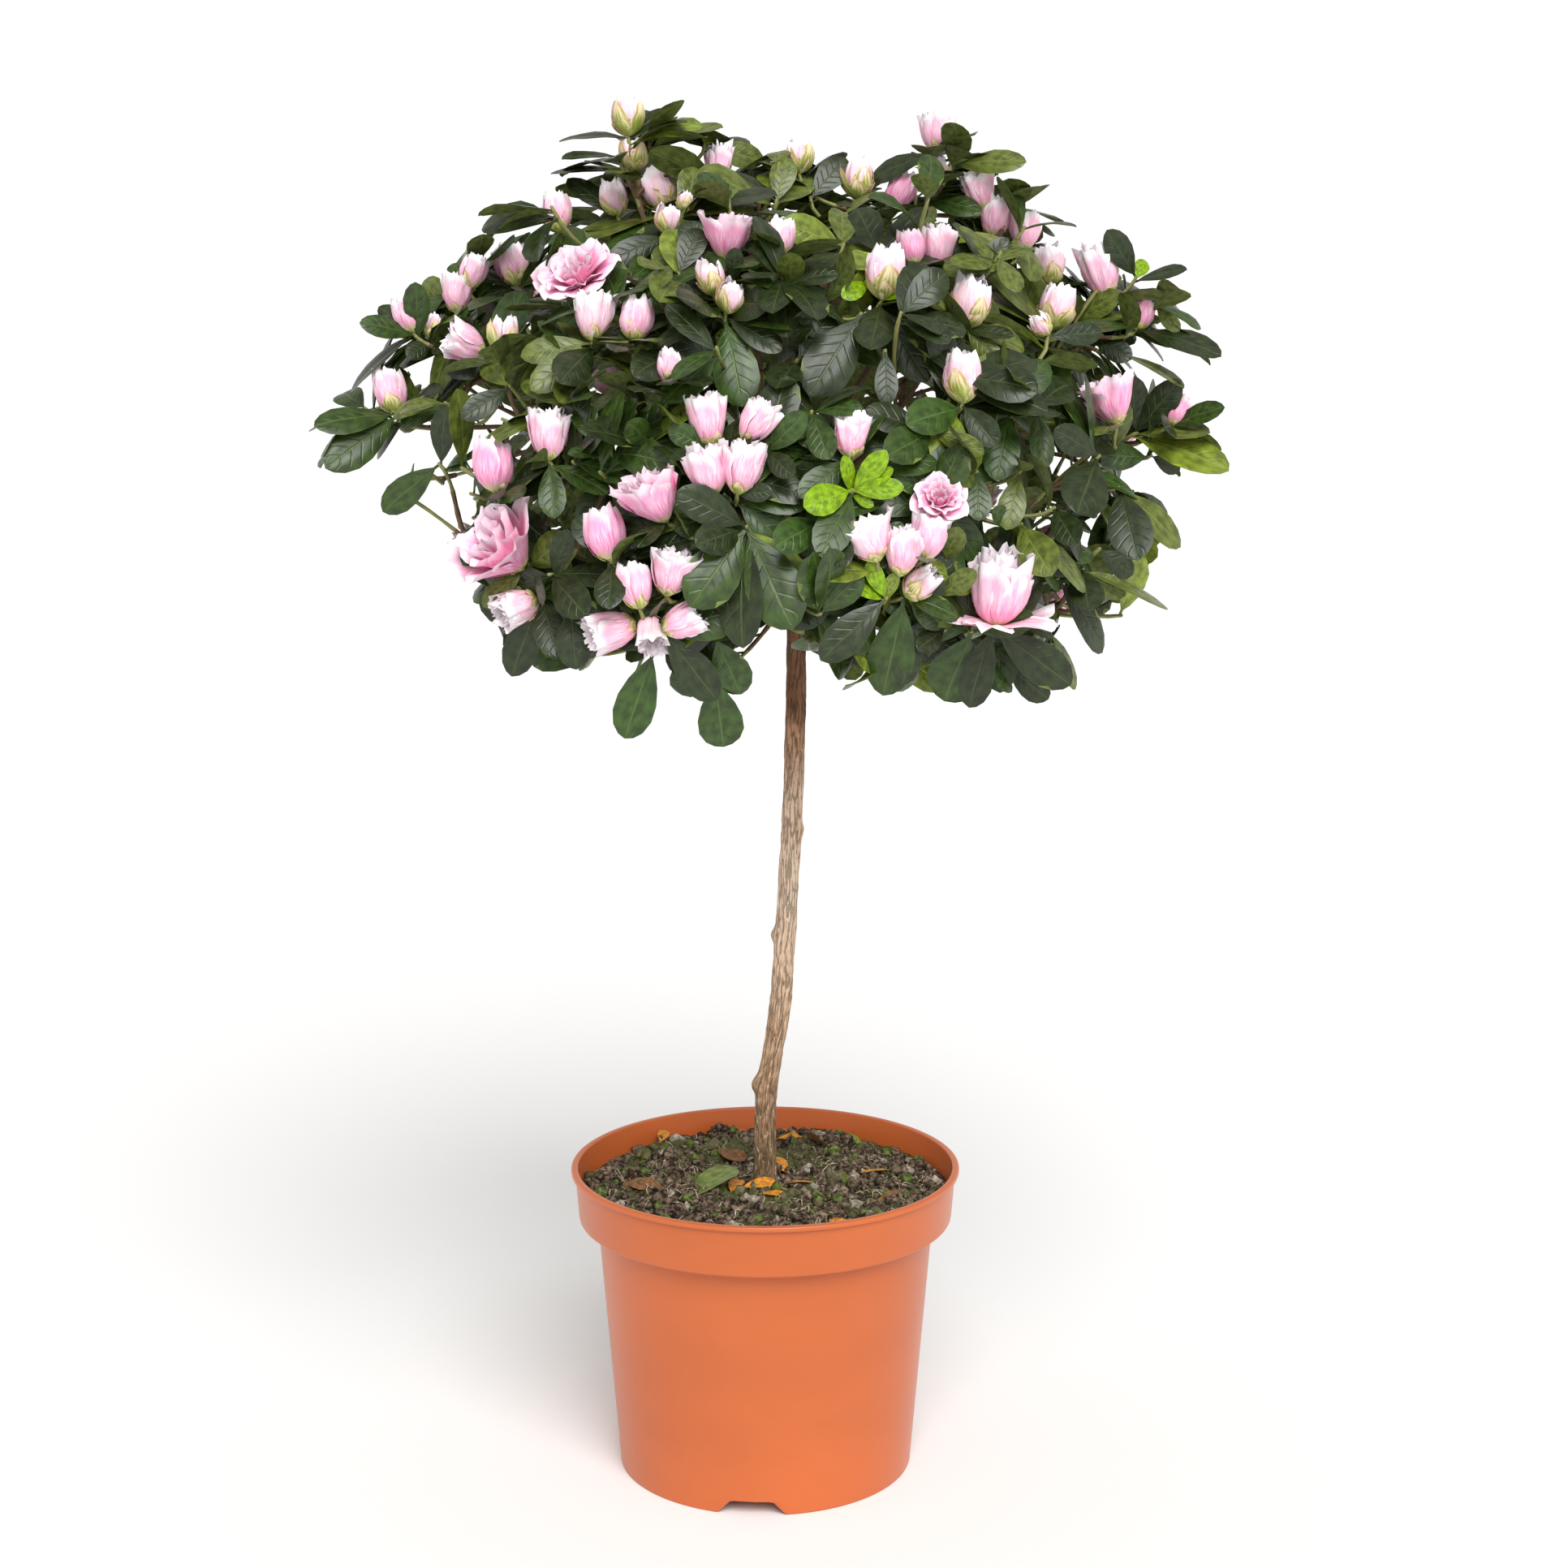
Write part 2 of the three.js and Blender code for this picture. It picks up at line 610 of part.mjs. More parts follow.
// The blooms at one shoot's tip, spread out from it as far as there are several.
function shootBlooms(mass, shoot, line, random) {
  const solids = [];
  const tip = line.curve.getPointAt(1);
  const sideways = new THREE.Vector3().crossVectors(line.ending, new THREE.Vector3(1, 0, 0.2)).normalize();
  const twist = random() * 2 * Math.PI;
  for (let i = 0; i < shoot.blooms; i++) {
    const spreadOut = shoot.blooms > 1 ? BLOOM_SPREAD.several : BLOOM_SPREAD.single;
    const out = sideways.clone().applyAxisAngle(line.ending, twist + (i * 2 * Math.PI) / shoot.blooms);
    for (const size of [spreadOut, spreadOut * BLOOM_SPREAD.narrower]) {
      const heading = line.ending.clone().addScaledVector(out, size).normalize();
      const bloom = bloomSolid(shoot.bloom, tip, heading);
      if (!fits(mass, bloom.points)) continue;
      solids.push(bloom.solid);
      break;
    }
  }
  return solids;
}

function fusedMass(mass, shoots, turned) {
  const parts = [limb(mass.stemLine, taper(BOUGH.tipRadius, STEM.tipRadius), STEM.sides, STEM.rings)];
  for (const shoot of shoots.filter((candidate) => candidate.mass === mass)) {
    const random = seeded(1000 + shoot.index * 17);
    const line = twigLine(mass, shoot, random);
    const way = line.curve.getPoints(6).slice(1);
    if (!way.every((point) => insideSpace(mass, point))) continue;
    const thicker = turned * TWIG_SWELL;
    parts.push(
      limb(line.curve, taper(TWIG.rootRadius + thicker, TWIG.tipRadius + thicker), TWIG.sides, TWIG.rings),
    );
    parts.push(...shootLeaves(mass, line, random, turned));
    parts.push(...shootBlooms(mass, shoot, line, random));
  }
  return largestOf(fuse(parts));
}

function massSolid(mass, shoots) {
  for (let attempt = 0; attempt < MASS_ATTEMPTS; attempt++) {
    const solid = fusedMass(mass, shoots, attempt * LEAF_TURN);
    if (isClean(solid)) return solid;
  }
  throw new Error(`no clean solid for ${mass.name}`);
}

function largestOf(solid) {
  return solid.decompose().reduce((best, piece) => (piece.volume() > best.volume() ? piece : best));
}

// ---- The plant ----

const MATERIALS = {
  pot: new THREE.MeshStandardMaterial({ color: COLOURS.pot, roughness: 0.42, metalness: 0 }),
  soil: new THREE.MeshStandardMaterial({ color: COLOURS.soil, roughness: 1, metalness: 0 }),
  bark: new THREE.MeshStandardMaterial({ color: COLOURS.bark, roughness: 0.9, metalness: 0 }),
  foliage: new THREE.MeshStandardMaterial({ color: COLOURS.foliage, roughness: 0.35, metalness: 0 }),
};

function part(name, solid, material) {
  const mesh = new THREE.Mesh(geometryOf(solid), material);
  mesh.name = name;
  return mesh;
}

const plant = new THREE.Group();
plant.add(part("pot", potShell(), MATERIALS.pot));
plant.add(part("soil", soilPlug(), MATERIALS.soil));
plant.add(part("trunk", trunkSolid(), MATERIALS.bark));

const trunkRoom = trunkSolid(CLEARANCE);
const shoots = shootTips();
for (const mass of MASSES) {
  plant.add(part(`bough_${mass.name}`, boughSolid(mass, trunkRoom), MATERIALS.bark));
  plant.add(part(`foliage_${mass.name}`, massSolid(mass, shoots), MATERIALS.foliage));
}

export default plant;
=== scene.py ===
"""An azalea standard in its pot, dressed round the CAD frame: bark, twigs, leaves, blooms, soil and pot.

Shapes are worked out in millimetres, +Z up, in the frame's axes, and become metres in the meshes.
Leaves, petals, twigs and turned surfaces are grids of points, gathered by kind into a few meshes.
"""

import json
import math

import bpy
import numpy as np
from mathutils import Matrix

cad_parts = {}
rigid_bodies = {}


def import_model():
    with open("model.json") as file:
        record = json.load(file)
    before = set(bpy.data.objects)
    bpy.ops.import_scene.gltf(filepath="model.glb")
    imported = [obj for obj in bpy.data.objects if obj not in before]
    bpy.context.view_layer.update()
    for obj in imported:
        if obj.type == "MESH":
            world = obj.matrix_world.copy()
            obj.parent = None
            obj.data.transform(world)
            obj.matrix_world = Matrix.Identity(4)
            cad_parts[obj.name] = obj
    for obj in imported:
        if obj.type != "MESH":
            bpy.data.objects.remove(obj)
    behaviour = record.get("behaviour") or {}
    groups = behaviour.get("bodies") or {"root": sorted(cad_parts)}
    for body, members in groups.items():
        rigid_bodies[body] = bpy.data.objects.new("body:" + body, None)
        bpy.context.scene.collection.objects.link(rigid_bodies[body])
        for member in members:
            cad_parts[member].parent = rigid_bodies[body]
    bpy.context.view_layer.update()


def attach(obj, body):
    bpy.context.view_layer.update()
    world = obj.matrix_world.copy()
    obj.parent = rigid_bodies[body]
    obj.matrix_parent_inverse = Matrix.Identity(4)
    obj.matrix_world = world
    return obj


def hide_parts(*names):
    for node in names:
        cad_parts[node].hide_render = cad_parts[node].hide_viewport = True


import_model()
MM = 0.001

# ---- Driving dimensions, as in the part's source ----

POT = {
    "height": 151.6, "lip_radius": 95, "lip_height": 2.6, "band_top": 93.3, "band_foot": 91.2, "band_height": 125.7,
    "shoulder": 82.4, "base": 72, "middle": 60, "wall": 1.6, "skirt_wall": 2, "floor_rise": 7, "floor": 1.8,
}  # fmt: skip
NOTCH = {"count": 3, "first": 265, "foot": 33, "head": 20, "height": 7}
SOIL = {
    "seat": 138.3, "crest": 3.4, "crest_radius": 55, "crest_width": 26, "edge": 90.3, "edge_foot": (90.2, 128),
    "shoulder": 126, "foot": 9.1, "gap": 0.4,
}  # fmt: skip
TRUNK_LINE = [
    (0, 0, 120), (0, 0, 160), (0.8, 0, 188), (6, 0, 222), (10.2, 0, 271), (13.6, 0, 343), (15, 0, 415), (12, 0, 480),
]  # fmt: skip
TRUNK_LINE = np.array(TRUNK_LINE, float)
GROUND = SOIL["seat"]
TRUNK = {"foot": 6.6, "stem": 5.4, "head": 4.6, "tip": 2.6, "flare": 14, "head_height": 415}
CENTRE = np.array([5.0, 0.0, 462.0])
CROWN = {
    "spread": 176, "rise": 160, "hang": 112, "lowest": -27, "shoots": 72, "gather": 0.03, "unevenness": 0.14,
    "first_azimuth": 280, "azimuth_wander": 9, "elevation_wander": 3, "seed": 11,
}  # fmt: skip
BOUGH = {"root": 2.5, "tip": 1.8, "reach": 0.42, "climb": 0.25, "bend": 0.35, "points": 14}
STEM = {"tip": 1.3, "reach": 0.7, "points": 8}
TWIG = {"root": 1.25, "tip": 0.9, "bend": 0.3, "lift": (0.25, 0.75), "follow": 1.2, "points": 12}
TWIG_ROOT = {"first": 0.96, "retreat": 1.3, "lowest": 0.3}
SIDE_TWIG = {"forks": (0.3, 0.5, 0.68), "least_run": 18}  # shares of the parent's line, and millimetres outward

# Each mass: azimuth and elevation of its middle, its reach, and the height at which its bough leaves the trunk.
MASSES = {
    "top_left": (196, 66, 1.1, 474),
    "top_right": (350, 60, 1.08, 469),
    "top_front": (264, 50, 1.0, 463),
    "top_back": (84, 52, 1.0, 464),
    "left": (180, 24, 1.04, 446),
    "front_left": (231, 20, 1.0, 455),
    "front_right": (302, 21, 1.0, 447),
    "right": (0, 24, 1.04, 457),
    "back_right": (58, 20, 1.02, 445),
    "back_left": (122, 20, 1.02, 453),
    "low_left": (203, -11, 1.0, 435),
    "low_front": (262, -9, 1.02, 428),
    "low_right": (324, -10, 1.02, 436),
    "low_back_right": (25, -11, 1.0, 425),
    "low_back": (86, -10, 1.0, 434),
    "low_back_left": (148, -11, 1.0, 427),
}
# The shoots that give the crown its outline: azimuth, elevation and reach.
LEADERS = [
    (190, 68, 188), (355, 66, 180), (184, 17, 199), (187, 31, 192), (352, 37, 186),
    (359, 14, 180), (347, -4, 168), (308, -6, 160), (287, -4, 160), (252, -13, 160),
    (227, -6, 158), (264, 14, 170), (281, 11, 176), (236, 42, 164),
]  # fmt: skip
LEADER_ROOM = 12  # degrees round a leader in which no other shoot grows
# From this elevation up and below it: the share of shoots that flower, and how much riper their blooms are.
FLOWERING = {"high_from": 25, "high": (0.78, -0.1), "low": (0.55, 0.15), "small_below": 0.25, "bud_below": 0.82}
# Finer shoots that fill the crown. Room is the least angle to the next shoot, and reach a share of the dome's.
FILL = {
    "count": 420, "lowest": -32, "room": 8.6, "room_behind": 7.4, "reach": (0.74, 1.0), "flowering": 0.3,
    "small_below": 0.3, "bud_below": 0.75, "azimuth_wander": (-6, 6), "elevation_wander": (-3, 3), "seed": 23,
}  # fmt: skip
# Each kind of shoot: the seed of its first one, and the step from one to the next.
SHOOT_SEEDS = {
    "source": (1000, 17), "bloom": (5000, 13), "young": (7000, 13), "fill": (9000, 13), "leafy": (11000, 13),
}  # fmt: skip

# ---- The photograph's camera ----

PICTURE = 1932
CAMERA = {"place": np.array([9.2, -1336.4, 589.4]), "down": math.radians(10.54), "focal": 3499}
SENSOR = 36
PICTURE_RIGHT = np.array([1.0, 0.0, 0.0])
PICTURE_UP = np.array([0.0, math.sin(CAMERA["down"]), math.cos(CAMERA["down"])])
INWARD = np.array([0.0, math.cos(CAMERA["down"]), -math.sin(CAMERA["down"])])
IN_SIGHT = np.arange(1050.0, 1500.0, 2.0)[:, None]  # distances from the camera at which the dome is looked for
LEAF_SIGHT = np.arange(1040.0, 1540.0, 1.5)[:, None]  # and a leaf's tip
SIDE_VIEW = -0.12  # how far round the crown the picture still shows blooms: a cosine

# The blooms that the photograph shows: across and down (its middle's pixel), kind, size, lean (degrees
# clockwise from upright), facing (degrees that it turns to the viewer) and tone.
SEEN = [
    (774, 143, "small", 1.35, 0, 0, "pale"), (781, 189, "small", 1.2, 0, 10, "pale"),
    (809, 232, "bud", 1.2, -25, 10, "pale"), (845, 249, "small", 0.7, 15, 0, "pale"),
    (822, 271, "small", 0.9, 5, 15, "pale"), (757, 245, "bud", 0.87, -10, 0, "pale"),
    (685, 260, "bud", 1.05, -8, 0, "pink"), (632, 325, "bud", 1.1, -10, 0, "pink"),
    (713, 345, "open", 0.85, -25, 40, "deep"), (732, 390, "half", 0.88, 5, 5, "pale"),
    (783, 392, "bud", 1.05, 5, 0, "pink"), (885, 202, "half", 0.74, 0, 0, "pink"),
    (896, 295, "cup", 0.8, 5, 10, "deep"), (876, 343, "small", 1.1, -10, 10, "pale"),
    (900, 367, "small", 1.0, 20, 20, "pale"), (960, 293, "bud", 0.9, 5, 0, "pink"),
    (984, 192, "small", 1.2, 0, 0, "pale"), (1057, 221, "small", 1.35, 3, 0, "pale"),
    (1109, 237, "bud", 1.05, 25, 0, "deep"), (1153, 164, "half", 0.72, 3, 0, "pink"),
    (1160, 209, "small", 0.8, 10, 20, "pale"), (1205, 233, "half", 0.8, -15, 5, "pink"),
    (1224, 270, "half", 0.75, 5, 0, "pink"), (1262, 287, "half", 0.72, 3, 0, "pink"),
    (1292, 327, "bud", 1.0, -5, 5, "pale"), (1090, 336, "bud", 1.25, 5, 5, "pale"),
    (1123, 306, "bud", 0.8, -8, 0, "deep"), (1156, 306, "half", 0.8, 5, 5, "pink"),
    (1196, 372, "bud", 1.2, 10, 5, "pale"), (1302, 379, "bud", 1.15, 15, 0, "pale"),
    (1283, 400, "small", 0.8, -35, 10, "pale"), (1356, 335, "half", 1.05, -15, 5, "pink"),
    (1408, 386, "bud", 0.8, 20, 0, "deep"), (1370, 496, "cup", 0.9, -15, 5, "deep"),
    (1450, 507, "bud", 0.75, 25, 0, "deep"), (1186, 466, "bud", 1.15, 0, 0, "pale"),
    (481, 482, "bud", 1.1, -12, 0, "pink"), (503, 387, "bud", 0.95, -15, 0, "pink"),
    (534, 401, "small", 0.9, 10, 10, "pale"), (562, 362, "half", 0.75, 0, 0, "pink"),
    (583, 335, "bud", 0.85, 20, 0, "pink"), (574, 423, "half", 0.82, -62, 15, "pink"),
    (619, 413, "small", 1.15, 8, 0, "pale"), (678, 536, "half", 0.9, 5, 5, "pink"),
    (609, 573, "bud", 1.3, -3, 5, "deep"), (622, 680, "flared", 1.08, -50, 34, "deep"),
    (637, 748, "half", 0.88, -112, 25, "pale"), (746, 658, "bud", 1.25, -12, 5, "deep"),
    (806, 615, "cup", 0.95, -28, 20, "deep"), (783, 722, "bud", 1.05, -10, 10, "pink"),
    (827, 708, "cup", 0.8, 14, 10, "pink"), (843, 765, "half", 0.85, 68, 15, "pink"),
    (803, 778, "half", 0.7, 172, 30, "pale"), (755, 776, "half", 0.95, -105, 10, "pink"),
    (825, 452, "bud", 0.75, -3, 0, "pink"), (872, 519, "half", 0.92, -8, 5, "pink"),
    (932, 521, "half", 0.8, 35, 15, "pink"),
    (872, 579, "half", 0.93, -12, 16, "pink"), (915, 577, "half", 0.93, 12, 16, "pink"),
    (1049, 537, "half", 0.78, 3, 5, "pink"), (1157, 618, "open", 0.56, 10, 60, "deep"),
    (1070, 668, "cup", 0.8, -25, 5, "pale"), (1111, 680, "half", 0.85, 4, 10, "pink"),
    (1143, 663, "half", 0.8, 10, 0, "pink"), (1134, 719, "bud", 0.9, 50, 20, "pale"),
    (1230, 726, "double", 1.02, 5, 22, "pink"),
]  # fmt: skip

# The leaves that stand out there: across and down of the foot, the same of the tip (all pixels), the width
# in pixels and the slot.
SEEN_LEAVES = [
    (487, 516, 388, 527, 33, "mid"), (487, 525, 402, 577, 52, "mid"), (540, 570, 472, 630, 38, "mid"),
    (503, 425, 434, 483, 20, "dark"), (495, 405, 444, 398, 25, "mid"), (500, 388, 467, 378, 22, "dark"),
    (522, 405, 512, 348, 34, "mid"), (548, 425, 502, 440, 25, "dark"), (628, 475, 570, 515, 28, "dark"),
    (700, 500, 590, 552, 18, "olive"), (705, 418, 643, 440, 30, "olive"), (707, 428, 655, 480, 38, "olive"),
    (738, 425, 690, 470, 50, "dark"), (567, 575, 562, 480, 22, "olive"), (538, 545, 548, 503, 28, "dark"),
    (525, 512, 577, 456, 18, "dark"), (692, 572, 683, 638, 35, "mid"), (700, 572, 748, 607, 25, "mid"),
    (705, 568, 777, 590, 26, "low"), (752, 555, 700, 560, 16, "mid"), (640, 358, 575, 376, 22, "dark"),
    (625, 346, 572, 332, 18, "dark"), (760, 182, 690, 174, 13, "dark"), (760, 190, 693, 197, 14, "dark"),
    (795, 166, 823, 134, 20, "dark"), (800, 172, 890, 159, 13, "olive"), (868, 178, 940, 198, 32, "olive"),
    (770, 216, 680, 214, 10, "dark"), (740, 266, 700, 221, 26, "dark"), (800, 268, 746, 250, 15, "olive"),
    (815, 272, 712, 298, 18, "olive"), (820, 284, 751, 322, 30, "dark"), (836, 335, 862, 282, 36, "dark"),
    (845, 276, 957, 244, 22, "dark"), (850, 274, 932, 254, 16, "olive"), (957, 245, 892, 212, 20, "dark"),
    (968, 250, 970, 194, 34, "olive"), (998, 242, 1042, 195, 38, "dark"), (1040, 300, 963, 274, 40, "young"),
    (1037, 306, 966, 300, 24, "dark"), (903, 345, 906, 305, 24, "dark"), (897, 398, 806, 430, 22, "dark"),
    (915, 385, 962, 432, 30, "dark"), (975, 350, 974, 312, 36, "olive"), (1140, 195, 1072, 222, 26, "dark"),
    (1175, 202, 1263, 198, 30, "olive"), (1130, 240, 1208, 262, 28, "mid"), (1245, 256, 1298, 292, 12, "dark"),
    (1085, 312, 1056, 257, 46, "dark"), (1092, 300, 1141, 256, 26, "dark"), (1072, 346, 1038, 366, 24, "bright"),
    (1104, 366, 1124, 354, 12, "bright"), (1062, 385, 998, 487, 64, "dark"), (1090, 370, 1072, 432, 52, "dark"),
    (1097, 380, 1142, 470, 50, "dark"), (1176, 405, 1233, 448, 24, "olive"), (1210, 398, 1248, 414, 16, "dark"),
    (1286, 388, 1213, 335, 24, "olive"), (1280, 400, 1204, 360, 18, "olive"), (1284, 412, 1356, 410, 30, "dark"),
    (1320, 396, 1391, 391, 14, "olive"), (1330, 381, 1379, 361, 28, "olive"), (1388, 326, 1364, 284, 34, "dark"),
    (1395, 341, 1411, 321, 20, "bright"), (1410, 405, 1503, 440, 28, "dark"), (1426, 378, 1453, 408, 20, "olive"),
    (1405, 360, 1462, 333, 16, "dark"), (1348, 415, 1394, 442, 30, "dark"), (1375, 432, 1458, 477, 13, "olive"),
    (1403, 532, 1394, 463, 36, "dark"), (1407, 536, 1453, 470, 36, "dark"), (1436, 540, 1508, 502, 25, "mid"),
    (1408, 548, 1490, 536, 20, "olive"), (1420, 548, 1512, 582, 38, "young"), (1420, 560, 1453, 579, 24, "dark"),
    (1424, 562, 1355, 562, 36, "mid"), (1356, 560, 1300, 530, 38, "dark"), (1372, 578, 1326, 634, 64, "dark"),
    (1380, 600, 1402, 690, 56, "dark"), (1386, 590, 1454, 673, 32, "olive"), (1245, 505, 1228, 592, 46, "low"),
    (1278, 500, 1285, 578, 28, "mid"), (1178, 508, 1228, 548, 36, "dark"), (1180, 490, 1118, 522, 50, "low"),
    (1150, 530, 1093, 562, 50, "mid"), (1207, 500, 1282, 511, 20, "dark"), (1205, 580, 1206, 641, 34, "mid"),
    (1202, 568, 1177, 598, 26, "olive"), (1258, 580, 1240, 652, 36, "olive"), (675, 708, 770, 712, 28, "dark"),
    (673, 711, 722, 758, 46, "dark"), (752, 692, 750, 749, 40, "dark"), (668, 700, 700, 653, 30, "dark"),
    (664, 745, 631, 832, 40, "dark"), (675, 740, 688, 809, 44, "dark"), (700, 745, 710, 824, 44, "dark"),
    (652, 703, 595, 747, 24, "olive"), (780, 686, 850, 664, 24, "dark"), (805, 800, 770, 909, 52, "low"),
    (825, 795, 882, 861, 48, "dark"), (880, 785, 912, 853, 50, "low"), (880, 832, 892, 920, 58, "low"),
    (920, 648, 835, 606, 46, "dark"), (925, 660, 852, 747, 68, "mid"), (935, 667, 976, 774, 72, "mid"),
    (925, 672, 918, 797, 46, "dark"), (922, 655, 857, 672, 44, "dark"), (1012, 640, 955, 673, 46, "low"),
    (905, 606, 951, 605, 24, "dark"), (944, 554, 977, 587, 30, "dark"), (944, 541, 993, 509, 34, "low"),
    (1000, 506, 1021, 566, 38, "mid"), (1032, 565, 985, 613, 38, "mid"), (860, 546, 824, 528, 30, "low"),
    (915, 388, 915, 499, 58, "low"), (1091, 430, 1093, 498, 28, "dark"), (800, 545, 774, 520, 36, "low"),
    (830, 430, 780, 464, 44, "dark"), (1092, 742, 1012, 813, 46, "dark"), (1108, 748, 1088, 857, 60, "mid"),
    (1132, 760, 1112, 843, 34, "dark"), (1198, 778, 1164, 862, 68, "low"), (1218, 790, 1195, 870, 38, "dark"),
    (1232, 779, 1318, 843, 52, "dark"), (1240, 820, 1291, 861, 36, "dark"), (1296, 778, 1323, 849, 13, "olive"),
    (1155, 736, 1203, 704, 28, "olive"), (1166, 690, 1181, 650, 32, "olive"), (1305, 712, 1360, 803, 32, "dark"),
    (1335, 700, 1341, 751, 46, "dark"), (1345, 690, 1437, 751, 13, "olive"), (1358, 694, 1386, 733, 30, "olive"),
    (1356, 675, 1396, 708, 30, "dark"), (1300, 625, 1326, 671, 38, "dark"), (1260, 645, 1339, 727, 19, "olive"),
    (1262, 655, 1296, 709, 50, "olive"), (1240, 661, 1222, 628, 26, "mid"), (1165, 776, 1130, 801, 30, "dark"),
    (1048, 606, 991, 624, 40, "bright"), (1052, 604, 1113, 600, 26, "bright"), (1050, 600, 1092, 556, 26, "bright"),
    (1050, 604, 1076, 624, 14, "bright"), (1046, 600, 1040, 562, 16, "bright"), (1056, 598, 1100, 578, 20, "bright"),
    (1092, 734, 1070, 692, 20, "bright"), (1092, 736, 1052, 722, 14, "bright"), (1096, 738, 1104, 706, 18, "young"),
]  # fmt: skip
# Where the sky shows through the crown or into its edge: across, down and how far round. No leaf is dealt there.
SKY = [
    (430, 600, 22), (455, 590, 16), (490, 565, 12), (515, 545, 16), (540, 572, 10), (560, 592, 12), (540, 612, 14),
    (520, 632, 18), (500, 655, 20), (545, 640, 14), (570, 622, 12), (585, 605, 8), (525, 680, 24), (542, 712, 20),
    (556, 735, 18), (575, 762, 20), (600, 792, 20), (590, 810, 20), (448, 440, 14), (434, 458, 12), (520, 462, 6),
    (588, 482, 8), (586, 530, 10), (600, 515, 12), (620, 498, 10), (546, 530, 6), (668, 828, 12), (690, 845, 18),
    (716, 850, 22), (745, 845, 20), (755, 815, 14), (815, 862, 14), (830, 885, 24), (846, 870, 10), (945, 794, 12),
    (966, 786, 12), (1410, 442, 12), (1440, 462, 10), (1395, 430, 8), (1462, 492, 8), (1315, 570, 11),
    (1301, 580, 6), (1394, 584, 6), (1425, 596, 13), (1446, 616, 14), (1466, 632, 16), (1476, 602, 14),
    (1492, 655, 30), (1230, 612, 9), (1226, 590, 6), (1214, 642, 8), (1286, 646, 5), (1338, 666, 5), (1418, 704, 10),
    (1436, 720, 12), (1456, 745, 16), (1442, 690, 18), (1376, 756, 14), (1400, 756, 12), (1426, 762, 12),
    (1388, 788, 22), (1298, 738, 10), (1310, 760, 9), (1326, 782, 13), (1342, 802, 14), (1334, 824, 18),
]  # fmt: skip
SKY_MARGIN = 13  # half a leaf's width, in pixels
SKY_DEPTH = 1e6  # behind everything, in millimetres
SEEN_REACH = 26  # how near to a leaf's foot, in pixels, the shoot that carries it has its tip
FACE_TO_VIEW = 0.12  # how far a seen leaf turns to the viewer beyond what its width shows
# A seen leaf: its length for the one in view and for its width, the longest that the width alone may give, how far
# out its tip is as a share of the dome, what missing that costs, and its least and greatest width for its length.
SEEN_LEAF = {
    "bent": 1.06, "by_width": 1.9, "longest": 40, "reach": 1.04, "cost": 60, "slender": (0.42, 0.66),
}  # fmt: skip
SEEN_ROSETTE = {"leaves": 4, "first": 1.0, "gap": 1.1, "lowest": 0.3}
COVERED = {"shares": (0.3, 0.55, 0.8), "margin": 3}  # where along a seen leaf nothing may hide it, and pixels round it

# Rosettes of young leaves: across and down in pixels, how many leaves, their length and their slot.
YOUNG = [(1050, 602, 2, 14, "bright"), (1093, 736, 2, 13, "bright"), (1401, 340, 2, 12, "bright")]

# The crown's outline from the front, as x and height: where the tips of its leaves end.
CROWN_TOP = [
    (-205, 520), (-191, 562), (-149, 588), (-126, 606), (-97, 630), (-60, 652), (-43, 662), (-15, 647),
    (0, 640), (68, 640), (82, 656), (122, 636), (142, 608), (172, 599), (196, 582), (210, 548), (214, 515),
]  # fmt: skip
CROWN_FOOT = [
    (-210, 500), (-200, 489), (-181, 478), (-169, 474), (-154, 463), (-138, 454), (-124, 434), (-112, 414),
    (-70, 391), (-25, 386), (-10, 408), (8, 434), (20, 412), (50, 403), (90, 398), (139, 401), (156, 411),
    (186, 429), (197, 460), (214, 500),
]  # fmt: skip
CROWN_TOP, CROWN_FOOT = np.array(CROWN_TOP).T, np.array(CROWN_FOOT).T

TIP_ROOM = {"below": 14, "above": 8}  # from a shoot's tip to the outline
OUTLINE_ROOM = 3.0  # and from a leaf's middle and tip

# ---- Small helpers ----

UP = np.array([0.0, 0.0, 1.0])
EAST = np.array([1.0, 0.0, 0.0])
GOLDEN_ANGLE = math.pi * (3 - math.sqrt(5))
MASK = 0xFFFFFFFF


def seeded(seed):
    """Numbers from 0 to 1, the same as the part's source draws for this seed."""
    state = seed & MASK

    def draw():
        nonlocal state
        state = (state + 0x6D2B79F5) & MASK
        mixed = ((state ^ (state >> 15)) * (state | 1)) & MASK
        mixed ^= (mixed + (((mixed ^ (mixed >> 7)) * (mixed | 61)) & MASK)) & MASK
        return (mixed ^ (mixed >> 14)) / 2**32

    return draw


def between(low, high, random):
    return low + (high - low) * random()


def drawn(ranges, random):
    """A value from each range."""
    return [between(*ends, random) for ends in ranges.values()]


def unit(vectors):
    return vectors / np.maximum(np.linalg.norm(vectors, axis=-1, keepdims=True), 1e-9)


def toward(azimuth, elevation):
    azimuth, elevation = math.radians(azimuth), math.radians(elevation)
    level = math.cos(elevation)
    return np.array([level * math.cos(azimuth), level * math.sin(azimuth), math.sin(elevation)])


def turned(vector, axis, angle):
    """A vector turned about a unit axis."""
    along = axis * (vector @ axis)
    return along + (vector - along) * math.cos(angle) + np.cross(axis, vector) * math.sin(angle)


def angle_between(a, b):
    return math.acos(max(-1.0, min(1.0, float(a @ b))))


def length_of(line):
    return np.linalg.norm(np.diff(line, axis=0), axis=1).sum()


def bezier(a, b, c, d, count):
    share = np.linspace(0, 1, count)[:, None]
    rest = 1 - share
    return rest**3 * a + 3 * rest**2 * share * b + 3 * rest * share**2 * c + share**3 * d


